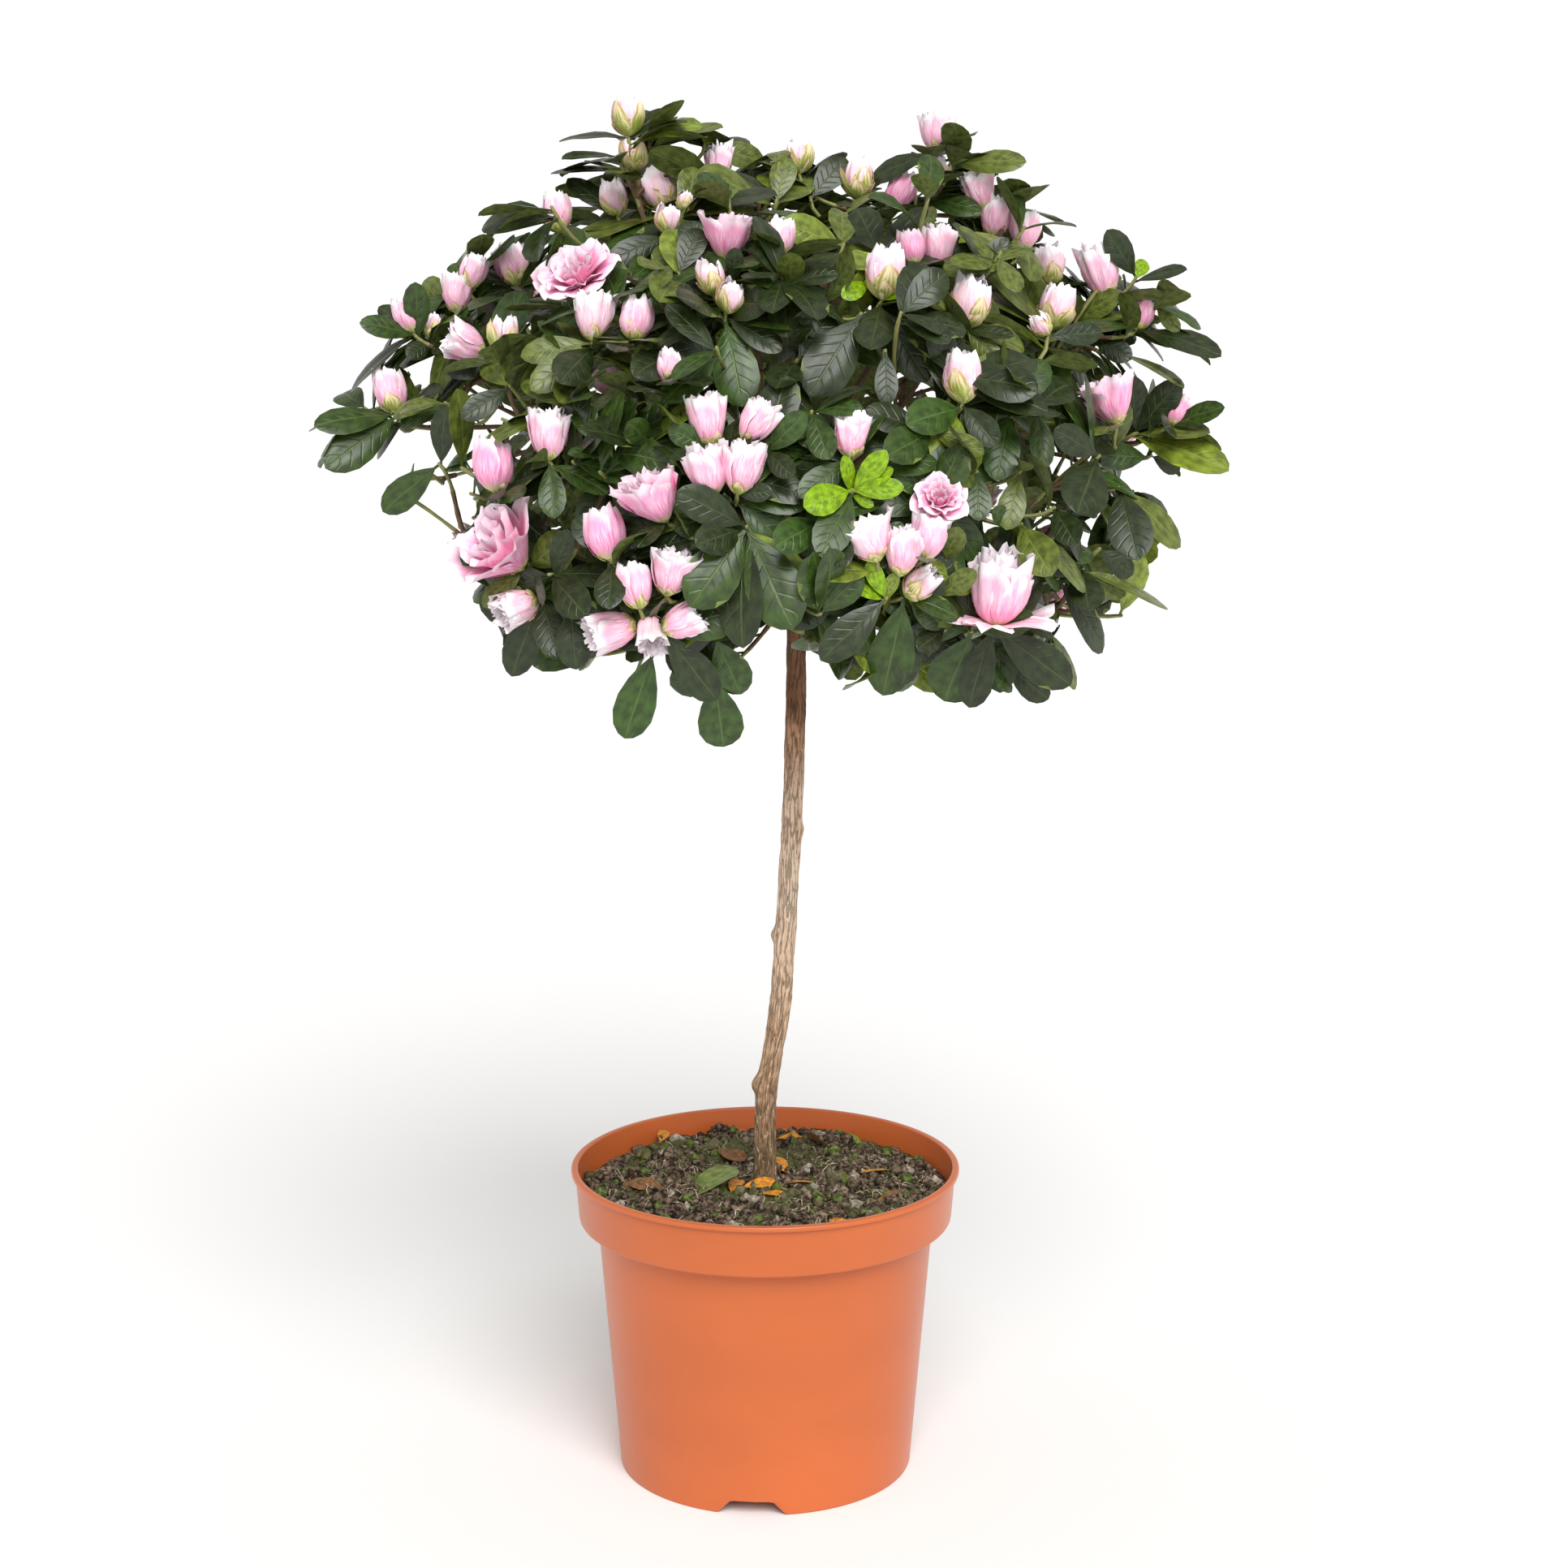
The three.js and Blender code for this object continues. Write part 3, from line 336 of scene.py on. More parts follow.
def at_share(points, share):
    """The point, and the direction, at a share of a polyline's length."""
    steps = np.linalg.norm(np.diff(points, axis=0), axis=1)
    run = np.concatenate([[0], np.cumsum(steps)])
    place = share * run[-1]
    i = min(int(np.searchsorted(run, place, "right")) - 1, len(steps) - 1)
    part = (place - run[i]) / max(steps[i], 1e-9)
    return points[i] + (points[i + 1] - points[i]) * part, unit(points[i + 1] - points[i])


FINE = 100  # steps into which a bent leaf or petal is divided to find its shape


def swept(slope):
    """How far lines with these slopes have run at each step, for a length of 1: level, and upright."""
    start = np.zeros((len(slope), 1))
    return [np.concatenate([start, np.cumsum(part(slope[:, :-1]), 1)], 1) / FINE for part in (np.cos, np.sin)]


def on_axes(origin, *pairs):
    """Points at an origin plus amounts along axes, for a whole set of grids at once."""
    return origin[:, None, None] + sum(amount[..., None] * axis[:, None, None] for amount, axis in pairs)


NOISE_LENGTH = 512  # cells before noise repeats along its second axis


def smooth_noise(seed, around, along, period):
    """Smooth noise from 0 to 1 over two arrays of cells, which repeats round its first axis."""
    lattice = np.random.default_rng(seed).random((period, NOISE_LENGTH))
    i, j = np.floor(around).astype(int), np.floor(along).astype(int)
    u, v = around - i, along - j
    u, v = u * u * (3 - 2 * u), v * v * (3 - 2 * v)

    def row(k):
        k = k % NOISE_LENGTH
        return lattice[i % period, k] * (1 - u) + lattice[(i + 1) % period, k] * u

    return row(j) * (1 - v) + row(j + 1) * v


def linear(red, green, blue):
    """A colour from 0 to 255 as a screen shows it, made linear."""
    shares = np.array([red, green, blue]) / 255
    return tuple(np.where(shares <= 0.04045, shares / 12.92, ((shares + 0.055) / 1.055) ** 2.4)) + (1.0,)


# ---- Materials ----


class Paint:
    """A material being made: a Principled shader, with nodes added to it."""

    def __init__(self, name, colour, roughness, specular=0.5):
        self.material = bpy.data.materials.new(name)
        self.material.use_nodes = True
        self.nodes = self.material.node_tree.nodes
        self.links = self.material.node_tree.links
        self.shader = self.nodes["Principled BSDF"]
        self.shader.inputs["Base Color"].default_value = colour
        self.shader.inputs["Roughness"].default_value = roughness
        self.shader.inputs["Specular IOR Level"].default_value = specular

    def put(self, value, socket):
        if isinstance(value, bpy.types.NodeSocket):
            self.links.new(value, socket)
        else:
            socket.default_value = value

    def node(self, kind, inputs=None, **settings):
        made = self.nodes.new(kind)
        for key, value in settings.items():
            setattr(made, key, value)
        for key, value in (inputs or {}).items():
            self.put(value, made.inputs[key])
        return made

    def sum(self, operation, first, second=0.0, third=0.0):
        node = self.node("ShaderNodeMath", {0: first, 1: second, 2: third}, operation=operation)
        return node.outputs[0]

    def step(self, value, low, high, start=0.0, end=1.0):
        """A smooth step from start to end as value goes from low to high."""
        inputs = {"Value": value, "From Min": low, "From Max": high, "To Min": start, "To Max": end}
        return self.node("ShaderNodeMapRange", inputs, interpolation_type="SMOOTHSTEP").outputs["Result"]

    def mix(self, share, low, high):
        node = self.node("ShaderNodeMix", data_type="RGBA")
        self.put(share, node.inputs["Factor"])
        self.put(low, node.inputs[6])
        self.put(high, node.inputs[7])
        return node.outputs[2]

    def shape(self):
        """Where a point is on its own leaf, petal or twig: its share along, and across."""
        node = self.node("ShaderNodeUVMap", uv_map="Shape")
        split = self.node("ShaderNodeSeparateXYZ", {0: node.outputs[0]})
        return split.outputs[0], split.outputs[1]

    def noise(self, scale, detail, stretch, place=None):
        """Noise on the piece's own shape, or on its place in the row frame, stretched along each axis."""
        if place is None:
            place = self.node("ShaderNodeUVMap", uv_map="Shape").outputs[0]
        mapping = self.node("ShaderNodeMapping", {"Vector": place, "Scale": stretch})
        inputs = {"Vector": mapping.outputs[0], "Scale": scale, "Detail": detail}
        return self.node("ShaderNodeTexNoise", inputs).outputs[0]

    def place(self):
        return self.node("ShaderNodeTexCoord").outputs["Object"]

    def bump(self, height, strength, distance):
        inputs = {"Height": height, "Strength": strength, "Distance": distance}
        self.put(self.node("ShaderNodeBump", inputs).outputs[0], self.shader.inputs["Normal"])

    def finish(self, colour):
        self.put(colour, self.shader.inputs["Base Color"])
        return self.material


def shade(colour, share):
    return tuple(channel * share for channel in colour[:3]) + (1.0,)


def leaf_paint(name, colour, vein_and_highlight, roughness=0.33, ribs=0.16):
    """A leaf's face: mottled, with a rib and side veins a little paler than the blade, and a thin painted highlight
    along its edge.
    """
    colour = linear(*colour)
    paint = Paint(name, colour, roughness, 0.44)
    along, across = paint.shape()
    side = paint.sum("ABSOLUTE", paint.sum("MULTIPLY_ADD", across, 2.0, -1.0))
    rib = paint.step(side, 0.015, 0.08, 1.0, 0.0)
    sweep = paint.sum("FRACT", paint.sum("MULTIPLY_ADD", side, -1.3, paint.sum("MULTIPLY", along, 7.0)))
    line = paint.step(paint.sum("ABSOLUTE", paint.sum("SUBTRACT", sweep, 0.5)), 0.0, 0.14, 1.0, 0.0)
    veins = paint.sum("MULTIPLY", line, paint.step(side, 0.95, 0.6, 0.0, 0.6))
    mottle = paint.noise(4.0, 4.0, (1.6, 1.0, 1.0))
    body = paint.mix(paint.step(mottle, 0.3, 0.7), shade(colour, 0.6), shade(colour, 1.4))
    # A painted highlight: the blade's edge turns a little toward the paler vein colour.
    margin = paint.step(side, 0.93, 1.0, 0.0, 0.2)
    veins_and_edge_highlight = paint.sum("MAXIMUM", paint.sum("MULTIPLY", veins, ribs), paint.sum("MAXIMUM", rib, margin))
    raised = paint.sum("MULTIPLY_ADD", mottle, 0.5, paint.sum("MULTIPLY", paint.sum("MAXIMUM", rib, veins), -1.0))
    paint.bump(raised, 0.45, 0.0005)
    return paint.finish(paint.mix(paint.sum("MULTIPLY", veins_and_edge_highlight, 0.45), body, linear(*vein_and_highlight)))


def petal_paint(name, pink, deep, rim, reach, white):
    """A petal's face: streaks that run from its foot as far as reach, and a rim that turns pale from white on."""
    pink, deep, rim = linear(*pink), linear(*deep), linear(*rim)
    paint = Paint(name, pink, 0.6, 0.3)
    along, across = paint.shape()
    side = paint.sum("ABSOLUTE", paint.sum("MULTIPLY_ADD", across, 2.0, -1.0))
    blotch = paint.noise(3.0, 4.0, (1.0, 1.6, 1.0))
    streaks = paint.noise(1.0, 4.0, (2.6, 30.0, 1.0))
    edge = paint.sum("MULTIPLY", paint.step(side, 0.7, 1.0), paint.step(along, 0.2, 0.9, 0.15, 0.9))
    outward = paint.sum("MAXIMUM", paint.step(along, 0.5, 1.0), edge)
    ragged = paint.sum("MULTIPLY_ADD", paint.sum("ADD", blotch, streaks), 0.55, outward)
    pale = paint.step(ragged, white, white + 0.55)
    streaked = paint.sum("MULTIPLY", paint.step(streaks, 0.4, 0.62), paint.step(along, 1.0, reach))
    clouded = paint.mix(paint.step(blotch, 0.35, 0.7, 0.0, 0.5), pink, rim)
    petal = paint.mix(pale, paint.mix(paint.sum("MULTIPLY", streaked, 0.85), clouded, deep), rim)
    foot = paint.step(along, 0.34, 0.06)
    paint.bump(streaks, 0.5, 0.0006)
    return paint.finish(paint.mix(foot, petal, linear(222, 218, 158)))


def scale_paint(name):
    """The bud scales round a bloom's foot: green, turning cream and amber to their tips."""
    paint = Paint(name, linear(170, 176, 60), 0.5)
    along, _ = paint.shape()
    blotch = paint.noise(1.0, 3.0, (1.6, 7.0, 1.0))
    ripe = paint.step(paint.sum("MULTIPLY_ADD", blotch, 0.8, along), 0.7, 1.35)
    amber = paint.mix(paint.step(blotch, 0.38, 0.56), linear(218, 168, 116), linear(246, 226, 186))
    green = paint.mix(paint.step(blotch, 0.35, 0.65), linear(136, 152, 56), linear(196, 202, 108))
    paint.bump(blotch, 0.4, 0.0004)
    return paint.finish(paint.mix(ripe, green, amber))


def limb_paint(name, low, high, roughness, grooves):
    """Young or old bark on a twig or bough, with grooves that run along it."""
    low, high = linear(*low), linear(*high)
    paint = Paint(name, low, roughness)
    streaks = paint.noise(1.0, 4.0, (6.0, 14.0, 1.0))
    rings = paint.noise(1.0, 2.0, (26.0, 3.0, 1.0))
    paint.bump(paint.sum("ADD", streaks, paint.sum("MULTIPLY", rings, 0.5)), grooves, 0.0006)
    return paint.finish(paint.mix(paint.step(streaks, 0.35, 0.65), low, high))


POT_COLOUR = (194, 97, 45)
# The stem's colours along its length: mossy at the foot, pale in the middle, dark brown under the crown.
# The pale middle is partly painted light, where the key light falls full on the bark, and the dark brown top is
# partly painted shade, where the crown's shadow falls.
TRUNK_COLOURS_AND_LIGHT = [
    (0.0, (92, 84, 50)),
    (0.06, (122, 98, 68)),
    (0.14, (160, 128, 98)),
    (0.26, (206, 170, 138)),
    (0.42, (238, 212, 188)),
    (0.58, (236, 206, 180)),
    (0.66, (190, 146, 114)),
    (0.71, (112, 70, 46)),
    (1.0, (78, 48, 32)),
]


def trunk_paint():
    """The stem's bark: fissured and flaking over the colours along its length, with pale flecks of painted light on
    its lower and middle part.
    """
    paint = Paint("trunk_bark", linear(150, 120, 92), 0.88, 0.25)
    along, _ = paint.shape()
    ramp = paint.node("ShaderNodeValToRGB", {"Fac": along})
    while len(ramp.color_ramp.elements) < len(TRUNK_COLOURS_AND_LIGHT):
        ramp.color_ramp.elements.new(0.5)
    for element, (place, colour) in zip(ramp.color_ramp.elements, TRUNK_COLOURS_AND_LIGHT):
        element.position = place
        element.color = linear(*colour)
    blotch = paint.noise(1.0, 4.0, (9.0, 3.0, 1.0))
    fissures = paint.noise(1.0, 6.0, (19.0, 13.0, 1.0))
    flakes = paint.noise(1.0, 5.0, (80.0, 22.0, 1.0))
    crack = paint.step(paint.sum("ABSOLUTE", paint.sum("SUBTRACT", fissures, 0.5)), 0.0, 0.045, 1.0, 0.0)
    tinted = paint.mix(paint.step(blotch, 0.38, 0.62, 0.0, 0.3), ramp.outputs[0], linear(176, 136, 106))
    greyed = paint.mix(paint.step(blotch, 0.5, 0.34, 0.0, 0.25), tinted, linear(160, 150, 124))
    rough = paint.mix(paint.step(flakes, 0.5, 0.34, 0.0, 0.4), greyed, linear(124, 92, 66))
    # Pale flecks of painted light where the key light falls on the lower and middle stem, fading out under the crown.
    lit_flecks = paint.sum("MULTIPLY", paint.step(flakes, 0.54, 0.68, 0.0, 0.5), paint.step(along, 0.74, 0.56, 0.08, 1.0))
    lit = paint.mix(lit_flecks, rough, linear(236, 214, 190))
    raised = paint.sum("MULTIPLY_ADD", crack, -0.7, paint.sum("ADD", flakes, fissures))
    paint.bump(raised, 0.9, 0.0014)
    return paint.finish(paint.mix(paint.sum("MULTIPLY", crack, 0.4), lit, linear(84, 60, 42)))


def pot_paint():
    """Terracotta-coloured moulded plastic, faintly cloudy, with a satin surface."""
    colour = linear(*POT_COLOUR)
    paint = Paint("pot_plastic", colour, 0.34, 0.5)
    place = paint.place()
    clouds = paint.noise(9.0, 3.0, (1.0, 1.0, 2.0), place)
    grain = paint.noise(900.0, 2.0, (1.0, 1.0, 1.0), place)
    paint.bump(grain, 0.12, 0.0002)
    return paint.finish(paint.mix(paint.step(clouds, 0.3, 0.7), shade(colour, 0.93), shade(colour, 1.05)))


def soil_paint(name, low, high, moss):
    """Peat: dark and crumbly, mossy grey-green in patches."""
    low, high, moss = linear(*low), linear(*high), linear(*moss)
    paint = Paint(name, low, 0.95, 0.2)
    place = paint.place()
    crumbs = paint.noise(420.0, 5.0, (1.0, 1.0, 1.0), place)
    patches = paint.noise(34.0, 3.0, (1.0, 1.0, 1.0), place)
    body = paint.mix(paint.step(crumbs, 0.36, 0.68), low, high)
    paint.bump(crumbs, 0.9, 0.002)
    return paint.finish(paint.mix(paint.step(patches, 0.48, 0.66, 0.0, 0.75), body, moss))


# Each slot of the leaves: the blade's colour and the veins', which also paints the painted highlight along the edge,
# and where it differs, its roughness and how far the side veins show. Colours are as a screen shows them.
LEAF_COLOURS = {
    "dark": ((39, 50, 23), (80, 96, 52)),
    "mid": ((50, 70, 24), (94, 116, 56)),
    "low": ((54, 78, 28), (98, 124, 62)),
    "olive": ((90, 102, 40), (134, 146, 78)),
    "young": ((114, 130, 42), (156, 170, 84)),
    "bright": ((120, 156, 2), (158, 188, 36)),
    "under": ((104, 118, 56), (144, 156, 86), 0.55, 0.5),
    "under_young": ((136, 156, 40), (172, 186, 84), 0.5, 0.5),
    "amber": ((206, 134, 40), (160, 100, 40), 0.6),
    "rust": ((122, 84, 48), (84, 58, 38), 0.75),
}
LEAF_SLOTS = list(LEAF_COLOURS)
LEAF_PAINTS = [leaf_paint(f"leaf_{name}", *given) for name, given in LEAF_COLOURS.items()]

# Each slot of the petals: the body's colour, the streaks', the rim's, and the last two values of petal_paint.
RIM, DEEP_RIM = (252, 243, 248), (251, 226, 238)
PETAL_COLOURS = {
    "pale": ((253, 212, 225), (247, 166, 200), RIM, 0.3, 0.9),
    "pink": ((253, 194, 217), (245, 142, 190), RIM, 0.3, 1.0),
    "deep": ((252, 172, 207), (238, 120, 176), DEEP_RIM, 0.4, 1.0),
    "pale_inside": ((254, 222, 232), (246, 168, 198), RIM, 0.2, 0.8),
    "pink_inside": ((254, 208, 226), (242, 146, 190), RIM, 0.3, 0.8),
    "deep_inside": ((252, 172, 208), (234, 112, 168), DEEP_RIM, 0.4, 0.9),
}
PETAL_SLOTS = [*PETAL_COLOURS, "scale"]
PETAL_PAINTS = [petal_paint(f"petal_{name}", *given) for name, given in PETAL_COLOURS.items()]
PETAL_PAINTS.append(scale_paint("bud_scale"))

TWIG_SLOTS = ["green", "brown"]
TWIG_PAINTS = [
    limb_paint("twig_green", (116, 118, 58), (150, 150, 92), 0.55, 0.3),
    limb_paint("twig_brown", (84, 64, 44), (126, 100, 72), 0.8, 0.6),
]

# Each slot of the soil: its dark colour, its pale one and that of its mossy patches.
SOIL_COLOURS = {
    "peat": ((34, 25, 19), (122, 104, 86), (88, 90, 56)),
    "crumb": ((56, 43, 33), (150, 130, 110), (108, 106, 74)),
    "pale": ((122, 108, 94), (188, 178, 162), (150, 148, 120)),
    "moss": ((62, 72, 34), (116, 130, 70), (92, 108, 44)),
    "fibre": ((150, 132, 106), (222, 208, 184), (166, 162, 118)),
}
SOIL_SLOTS = list(SOIL_COLOURS)
SOIL_PAINTS = [soil_paint(f"soil_{name}", *given) for name, given in SOIL_COLOURS.items()]

# ---- Meshes: grids of points, gathered into pieces ----

TILES = 4  # the baked picture of a piece is a square of tiles, one for each of its slots
TILE_EDGE = 0.02


class Gathered:
    """Grids of points that become one mesh. Each grid has a slot, and its points know their share along it."""

    def __init__(self):
        self.points, self.corners, self.slots, self.shapes = [], [], [], []
        self.count = 0

    def add(self, grids, slots, along=None):
        """grids is (n, rows, columns, 3) and slots (n,). The shares go from 0 to 1 unless along gives them."""
        grids = np.asarray(grids, float)
        n, rows, columns = grids.shape[:3]
        r, c = np.meshgrid(np.arange(rows - 1), np.arange(columns - 1), indexing="ij")
        first = (r * columns + c).ravel()
        quads = np.stack([first, first + columns, first + columns + 1, first + 1], 1)
        starts = self.count + np.arange(n)[:, None, None] * rows * columns
        self.corners.append((quads[None] + starts).reshape(-1, 4))
        self.slots.append(np.repeat(np.asarray(slots), len(quads)))
        rise = np.linspace(0, 1, rows) if along is None else along
        share = np.stack(np.meshgrid(rise, np.linspace(0, 1, columns), indexing="ij"), -1).reshape(-1, 2)
        self.shapes.append(np.tile(share, (n, 1)))
        self.points.append(grids.reshape(-1, 3))
        self.count += n * rows * columns

    def build(self, name, paints, nodes, slot, tiles=TILES):
        """The piece, which stands for these CAD nodes."""
        points, corners = np.concatenate(self.points) * MM, np.concatenate(self.corners)
        slots, shapes = np.concatenate(self.slots), np.concatenate(self.shapes)
        mesh = bpy.data.meshes.new(name)
        mesh.vertices.add(len(points))
        mesh.vertices.foreach_set("co", points.ravel())
        mesh.loops.add(corners.size)
        mesh.loops.foreach_set("vertex_index", corners.ravel())
        mesh.polygons.add(len(corners))
        mesh.polygons.foreach_set("loop_start", np.arange(len(corners)) * 4)
        mesh.polygons.foreach_set("material_index", slots.astype(np.int32))
        mesh.polygons.foreach_set("use_smooth", np.ones(len(corners), bool))
        for paint in paints:
            mesh.materials.append(paint)
        at = shapes[corners.ravel()]
        mesh.uv_layers.new(name="Shape").data.foreach_set("uv", at.ravel())
        tile = np.repeat(slots, 4)
        place = np.clip(at, 0, 1) * (1 - 2 * TILE_EDGE) + TILE_EDGE
        place = (place + np.stack([tile % tiles, tile // tiles], 1)) / tiles
        mesh.uv_layers.new(name="OFBake").data.foreach_set("uv", place.ravel())
        mesh.update(calc_edges=True)
        mesh.validate()
        return placed(bpy.data.objects.new(name, mesh), nodes)


def placed(piece, nodes):
    bpy.context.scene.collection.objects.link(piece)
    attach(piece, "root")
    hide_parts(*nodes)
    return piece


def tube(points, radii, sides):
    """The grid round a line: one row for each of its points, closed at its far end."""
    along = unit(np.gradient(points, axis=0))
    normal = np.cross(along[0], EAST if abs(along[0][2]) > 0.9 else UP)
    rows = []
    angles = np.linspace(0, 2 * math.pi, sides + 1)
    for point, heading, radius in zip(points, along, radii):
        normal = unit(normal - heading * (normal @ heading))
        other = np.cross(heading, normal)
        rows.append(point + radius * (np.cos(angles)[:, None] * normal + np.sin(angles)[:, None] * other))
    rows.append(np.repeat(points[-1:] + along[-1] * radii[-1] * 0.5, sides + 1, 0))
    return np.array(rows)[None]


# ---- Trunk and boughs ----


def catmull_rom(line, steps):
    """A centripetal Catmull-Rom curve through points."""
    ends = np.vstack([2 * line[0] - line[1], line, 2 * line[-1] - line[-2]])
    found = []
    for i in range(1, len(ends) - 2):
        a, b, c, d = ends[i - 1 : i + 3]
        before, run, after = (math.sqrt(np.linalg.norm(q - p)) for p, q in ((a, b), (b, c), (c, d)))
        leave = ((b - a) / before - (c - a) / (before + run) + (c - b) / run) * run
        arrive = ((c - b) / run - (d - b) / (run + after) + (d - c) / after) * run
        t = np.linspace(0, 1, steps, endpoint=False)[:, None]
        hermite = (2 * t**3 - 3 * t**2 + 1) * b + (t**3 - 2 * t**2 + t) * leave
        found.append(hermite + (3 * t**2 - 2 * t**3) * c + (t**3 - t**2) * arrive)
    return np.vstack([*found, line[-1:]])


TRUNK_POINTS = catmull_rom(TRUNK_LINE, steps=60)


def trunk_axis(height):
    return np.array([np.interp(height, TRUNK_POINTS[:, 2], TRUNK_POINTS[:, k]) for k in range(3)])


def trunk_radius(height):
    low, head, tip = GROUND + TRUNK["flare"], TRUNK["head_height"], TRUNK_LINE[-1][2]
    flare = np.sqrt(np.clip((height - GROUND) / TRUNK["flare"], 0, 1))
    foot = TRUNK["foot"] + (TRUNK["stem"] - TRUNK["foot"]) * flare
    above = np.interp(height, [low, head, tip], [TRUNK["stem"], TRUNK["head"], TRUNK["tip"]])
    return np.where(height < low, foot, above)


# Knots where side shoots were cut off: azimuth, height, how far they stand out, and their spread.
KNOTS = [(188, 267, 2.2, 5), (184, 192, 2.6, 6), (20, 318, 1.4, 5), (300, 232, 1.6, 5), (250, 372, 1.5, 6)]
ROOT_LOBES = {"count": 4, "depth": 0.9, "height": 16, "turn": 0.6}
TRUNK_SUNK = 3  # how far the visible trunk goes down into the soil


def trunk_grid(sides=72, rows=420):
    """The trunk's surface: fissured bark with knots, and lobes where the roots start."""
    heights = np.linspace(GROUND - TRUNK_SUNK, TRUNK_LINE[-1][2], rows)
    angles = np.linspace(0, 2 * math.pi, sides + 1)
    axis = np.array([trunk_axis(height) for height in heights])
    z, angle = np.meshgrid(heights, angles, indexing="ij")
    turn = angle / (2 * math.pi)

    def layer(seed, cells, length):
        """Noise with this many cells round the trunk, each of this length along it."""
        return smooth_noise(seed, turn * cells, z / length, cells)

    plates = layer(3, 9, 13) * 0.6 + layer(4, 22, 5) * 0.4
    swell, grain = layer(5, 3, 26) - 0.5, layer(6, 40, 2.2) - 0.5
    radius = trunk_radius(z) + 0.75 * (plates - 0.55) + 0.7 * swell + 0.25 * grain
    for azimuth, height, size, spread in KNOTS:
        aside = np.angle(np.exp(1j * (angle - math.radians(azimuth)))) * trunk_radius(height)
        radius += size * np.exp(-((z - height) ** 2 + (aside * 1.2) ** 2) / (0.5 * spread**2))
    low = ROOT_LOBES["depth"] * np.clip(1 - (z - GROUND) / ROOT_LOBES["height"], 0, 1)
    radius += low * np.cos(angle * ROOT_LOBES["count"] + ROOT_LOBES["turn"])
    x, y = axis[:, None, 0] + radius * np.cos(angle), axis[:, None, 1] + radius * np.sin(angle)
    return np.stack([x, y, z], -1)[None]


# ---- The crown's plan: masses, shoots and twigs ----


def dome_reach(direction):
    level = (direction[0] ** 2 + direction[1] ** 2) / CROWN["spread"] ** 2
    upright = direction[2] ** 2 / (CROWN["rise"] if direction[2] > 0 else CROWN["hang"]) ** 2
    return 1 / math.sqrt(level + upright)


def from_centre(direction, distance):
    return CENTRE + direction * distance


class Mass:
    """One mass of foliage: its bough's line, its stem's line and its middle."""

    def __init__(self, name, azimuth, elevation, reach, fork):
        self.name, self.reach = name, reach
        self.direction = toward(azimuth, elevation)
        self.radius = dome_reach(self.direction) * reach
        root = trunk_axis(fork)
        tip = from_centre(self.direction, self.radius * BOUGH["reach"])
        run = np.linalg.norm(tip - root) * BOUGH["bend"]
        set_off = unit(self.direction + UP * BOUGH["climb"])
        self.bough = bezier(root, root + set_off * run, tip - self.direction * run, tip, BOUGH["points"])
        self.stem = np.linspace(tip, from_centre(self.direction, self.radius * STEM["reach"]), STEM["points"])
        self.twigs = []


masses = [Mass(name, *values) for name, values in MASSES.items()]


def mass_nearest(direction):
    return max(masses, key=lambda mass: float(direction @ mass.direction))


def shoot_seed(kind, i):
    first, step = SHOOT_SEEDS[kind]
    return first + step * i


class Shoot:
    """A shoot: where its tip is, and what it carries. Heading is set where its bloom's is known."""

    def __init__(self, direction, reach, bloom="none", heading=None, size=1.0, tone=None, seed=0):
        self.direction, self.reach, self.bloom = direction, reach, bloom
        self.heading, self.size, self.tone, self.seed = heading, size, tone, seed
        self.mass = mass_nearest(direction)
        self.tip = from_centre(direction, reach)
        self.leaves, self.leaf_length, self.leaf_slot = None, None, None
        self.leaf_count = 0
        self.carries = 0.0
        self.parent, self.parent_share = None, 0.0

    def carry(self, share):
        """Notes that something grows at this share of the line. A twig with no bloom ends at the last of them."""
        self.carries = max(self.carries, share)

    def settle(self):
        """Moves the tip to within the crown's outline, with room for its leaves."""
        low, high = (np.interp(self.tip[0], *edge) for edge in (CROWN_FOOT, CROWN_TOP))
        self.tip[2] = min(max(self.tip[2], low + TIP_ROOM["below"]), high - TIP_ROOM["above"])


def in_sky(point):
    across, down, _ = pixel(point)
    return any(math.hypot(across - x, down - y) < radius for x, y, radius in SKY)


def bloom_for(elevation, random):
    share, ripeness = FLOWERING["high"] if elevation > FLOWERING["high_from"] else FLOWERING["low"]
    flowers = random() < share
    openness = random() + ripeness
    if not flowers:
        return "none"
    if openness < FLOWERING["small_below"]:
        return "small"
    return "bud" if openness < FLOWERING["bud_below"] else "half"


def source_shoots():
    """The shoots that the part's source grows, drawn in its order."""
    random = seeded(CROWN["seed"])
    leaders = [(toward(azimuth, elevation), reach, "half") for azimuth, elevation, reach in LEADERS]
    found = list(leaders)
    lowest = math.sin(math.radians(CROWN["lowest"]))
    for i in range(CROWN["shoots"]):
        height = 1 - (i + 0.5) / CROWN["shoots"] * (1 - lowest)
        azimuth = CROWN["first_azimuth"] + math.degrees(i * GOLDEN_ANGLE)
        azimuth += CROWN["azimuth_wander"] * between(-1, 1, random)
        elevation = math.degrees(math.asin(height)) + CROWN["elevation_wander"] * between(-1, 1, random)
        wander = 1 + CROWN["unevenness"] * (random() - 0.5)
        bloom = bloom_for(elevation, random)
        direction = toward(azimuth, elevation)
        if any(angle_between(direction, leader[0]) < math.radians(LEADER_ROOM) for leader in leaders):
            continue
        mass = mass_nearest(direction)
        direction = unit(direction + (mass.direction - direction) * CROWN["gather"])
        found.append((direction, dome_reach(direction) * mass.reach * wander, bloom))
    return [Shoot(*given, seed=shoot_seed("source", i)) for i, given in enumerate(found)]


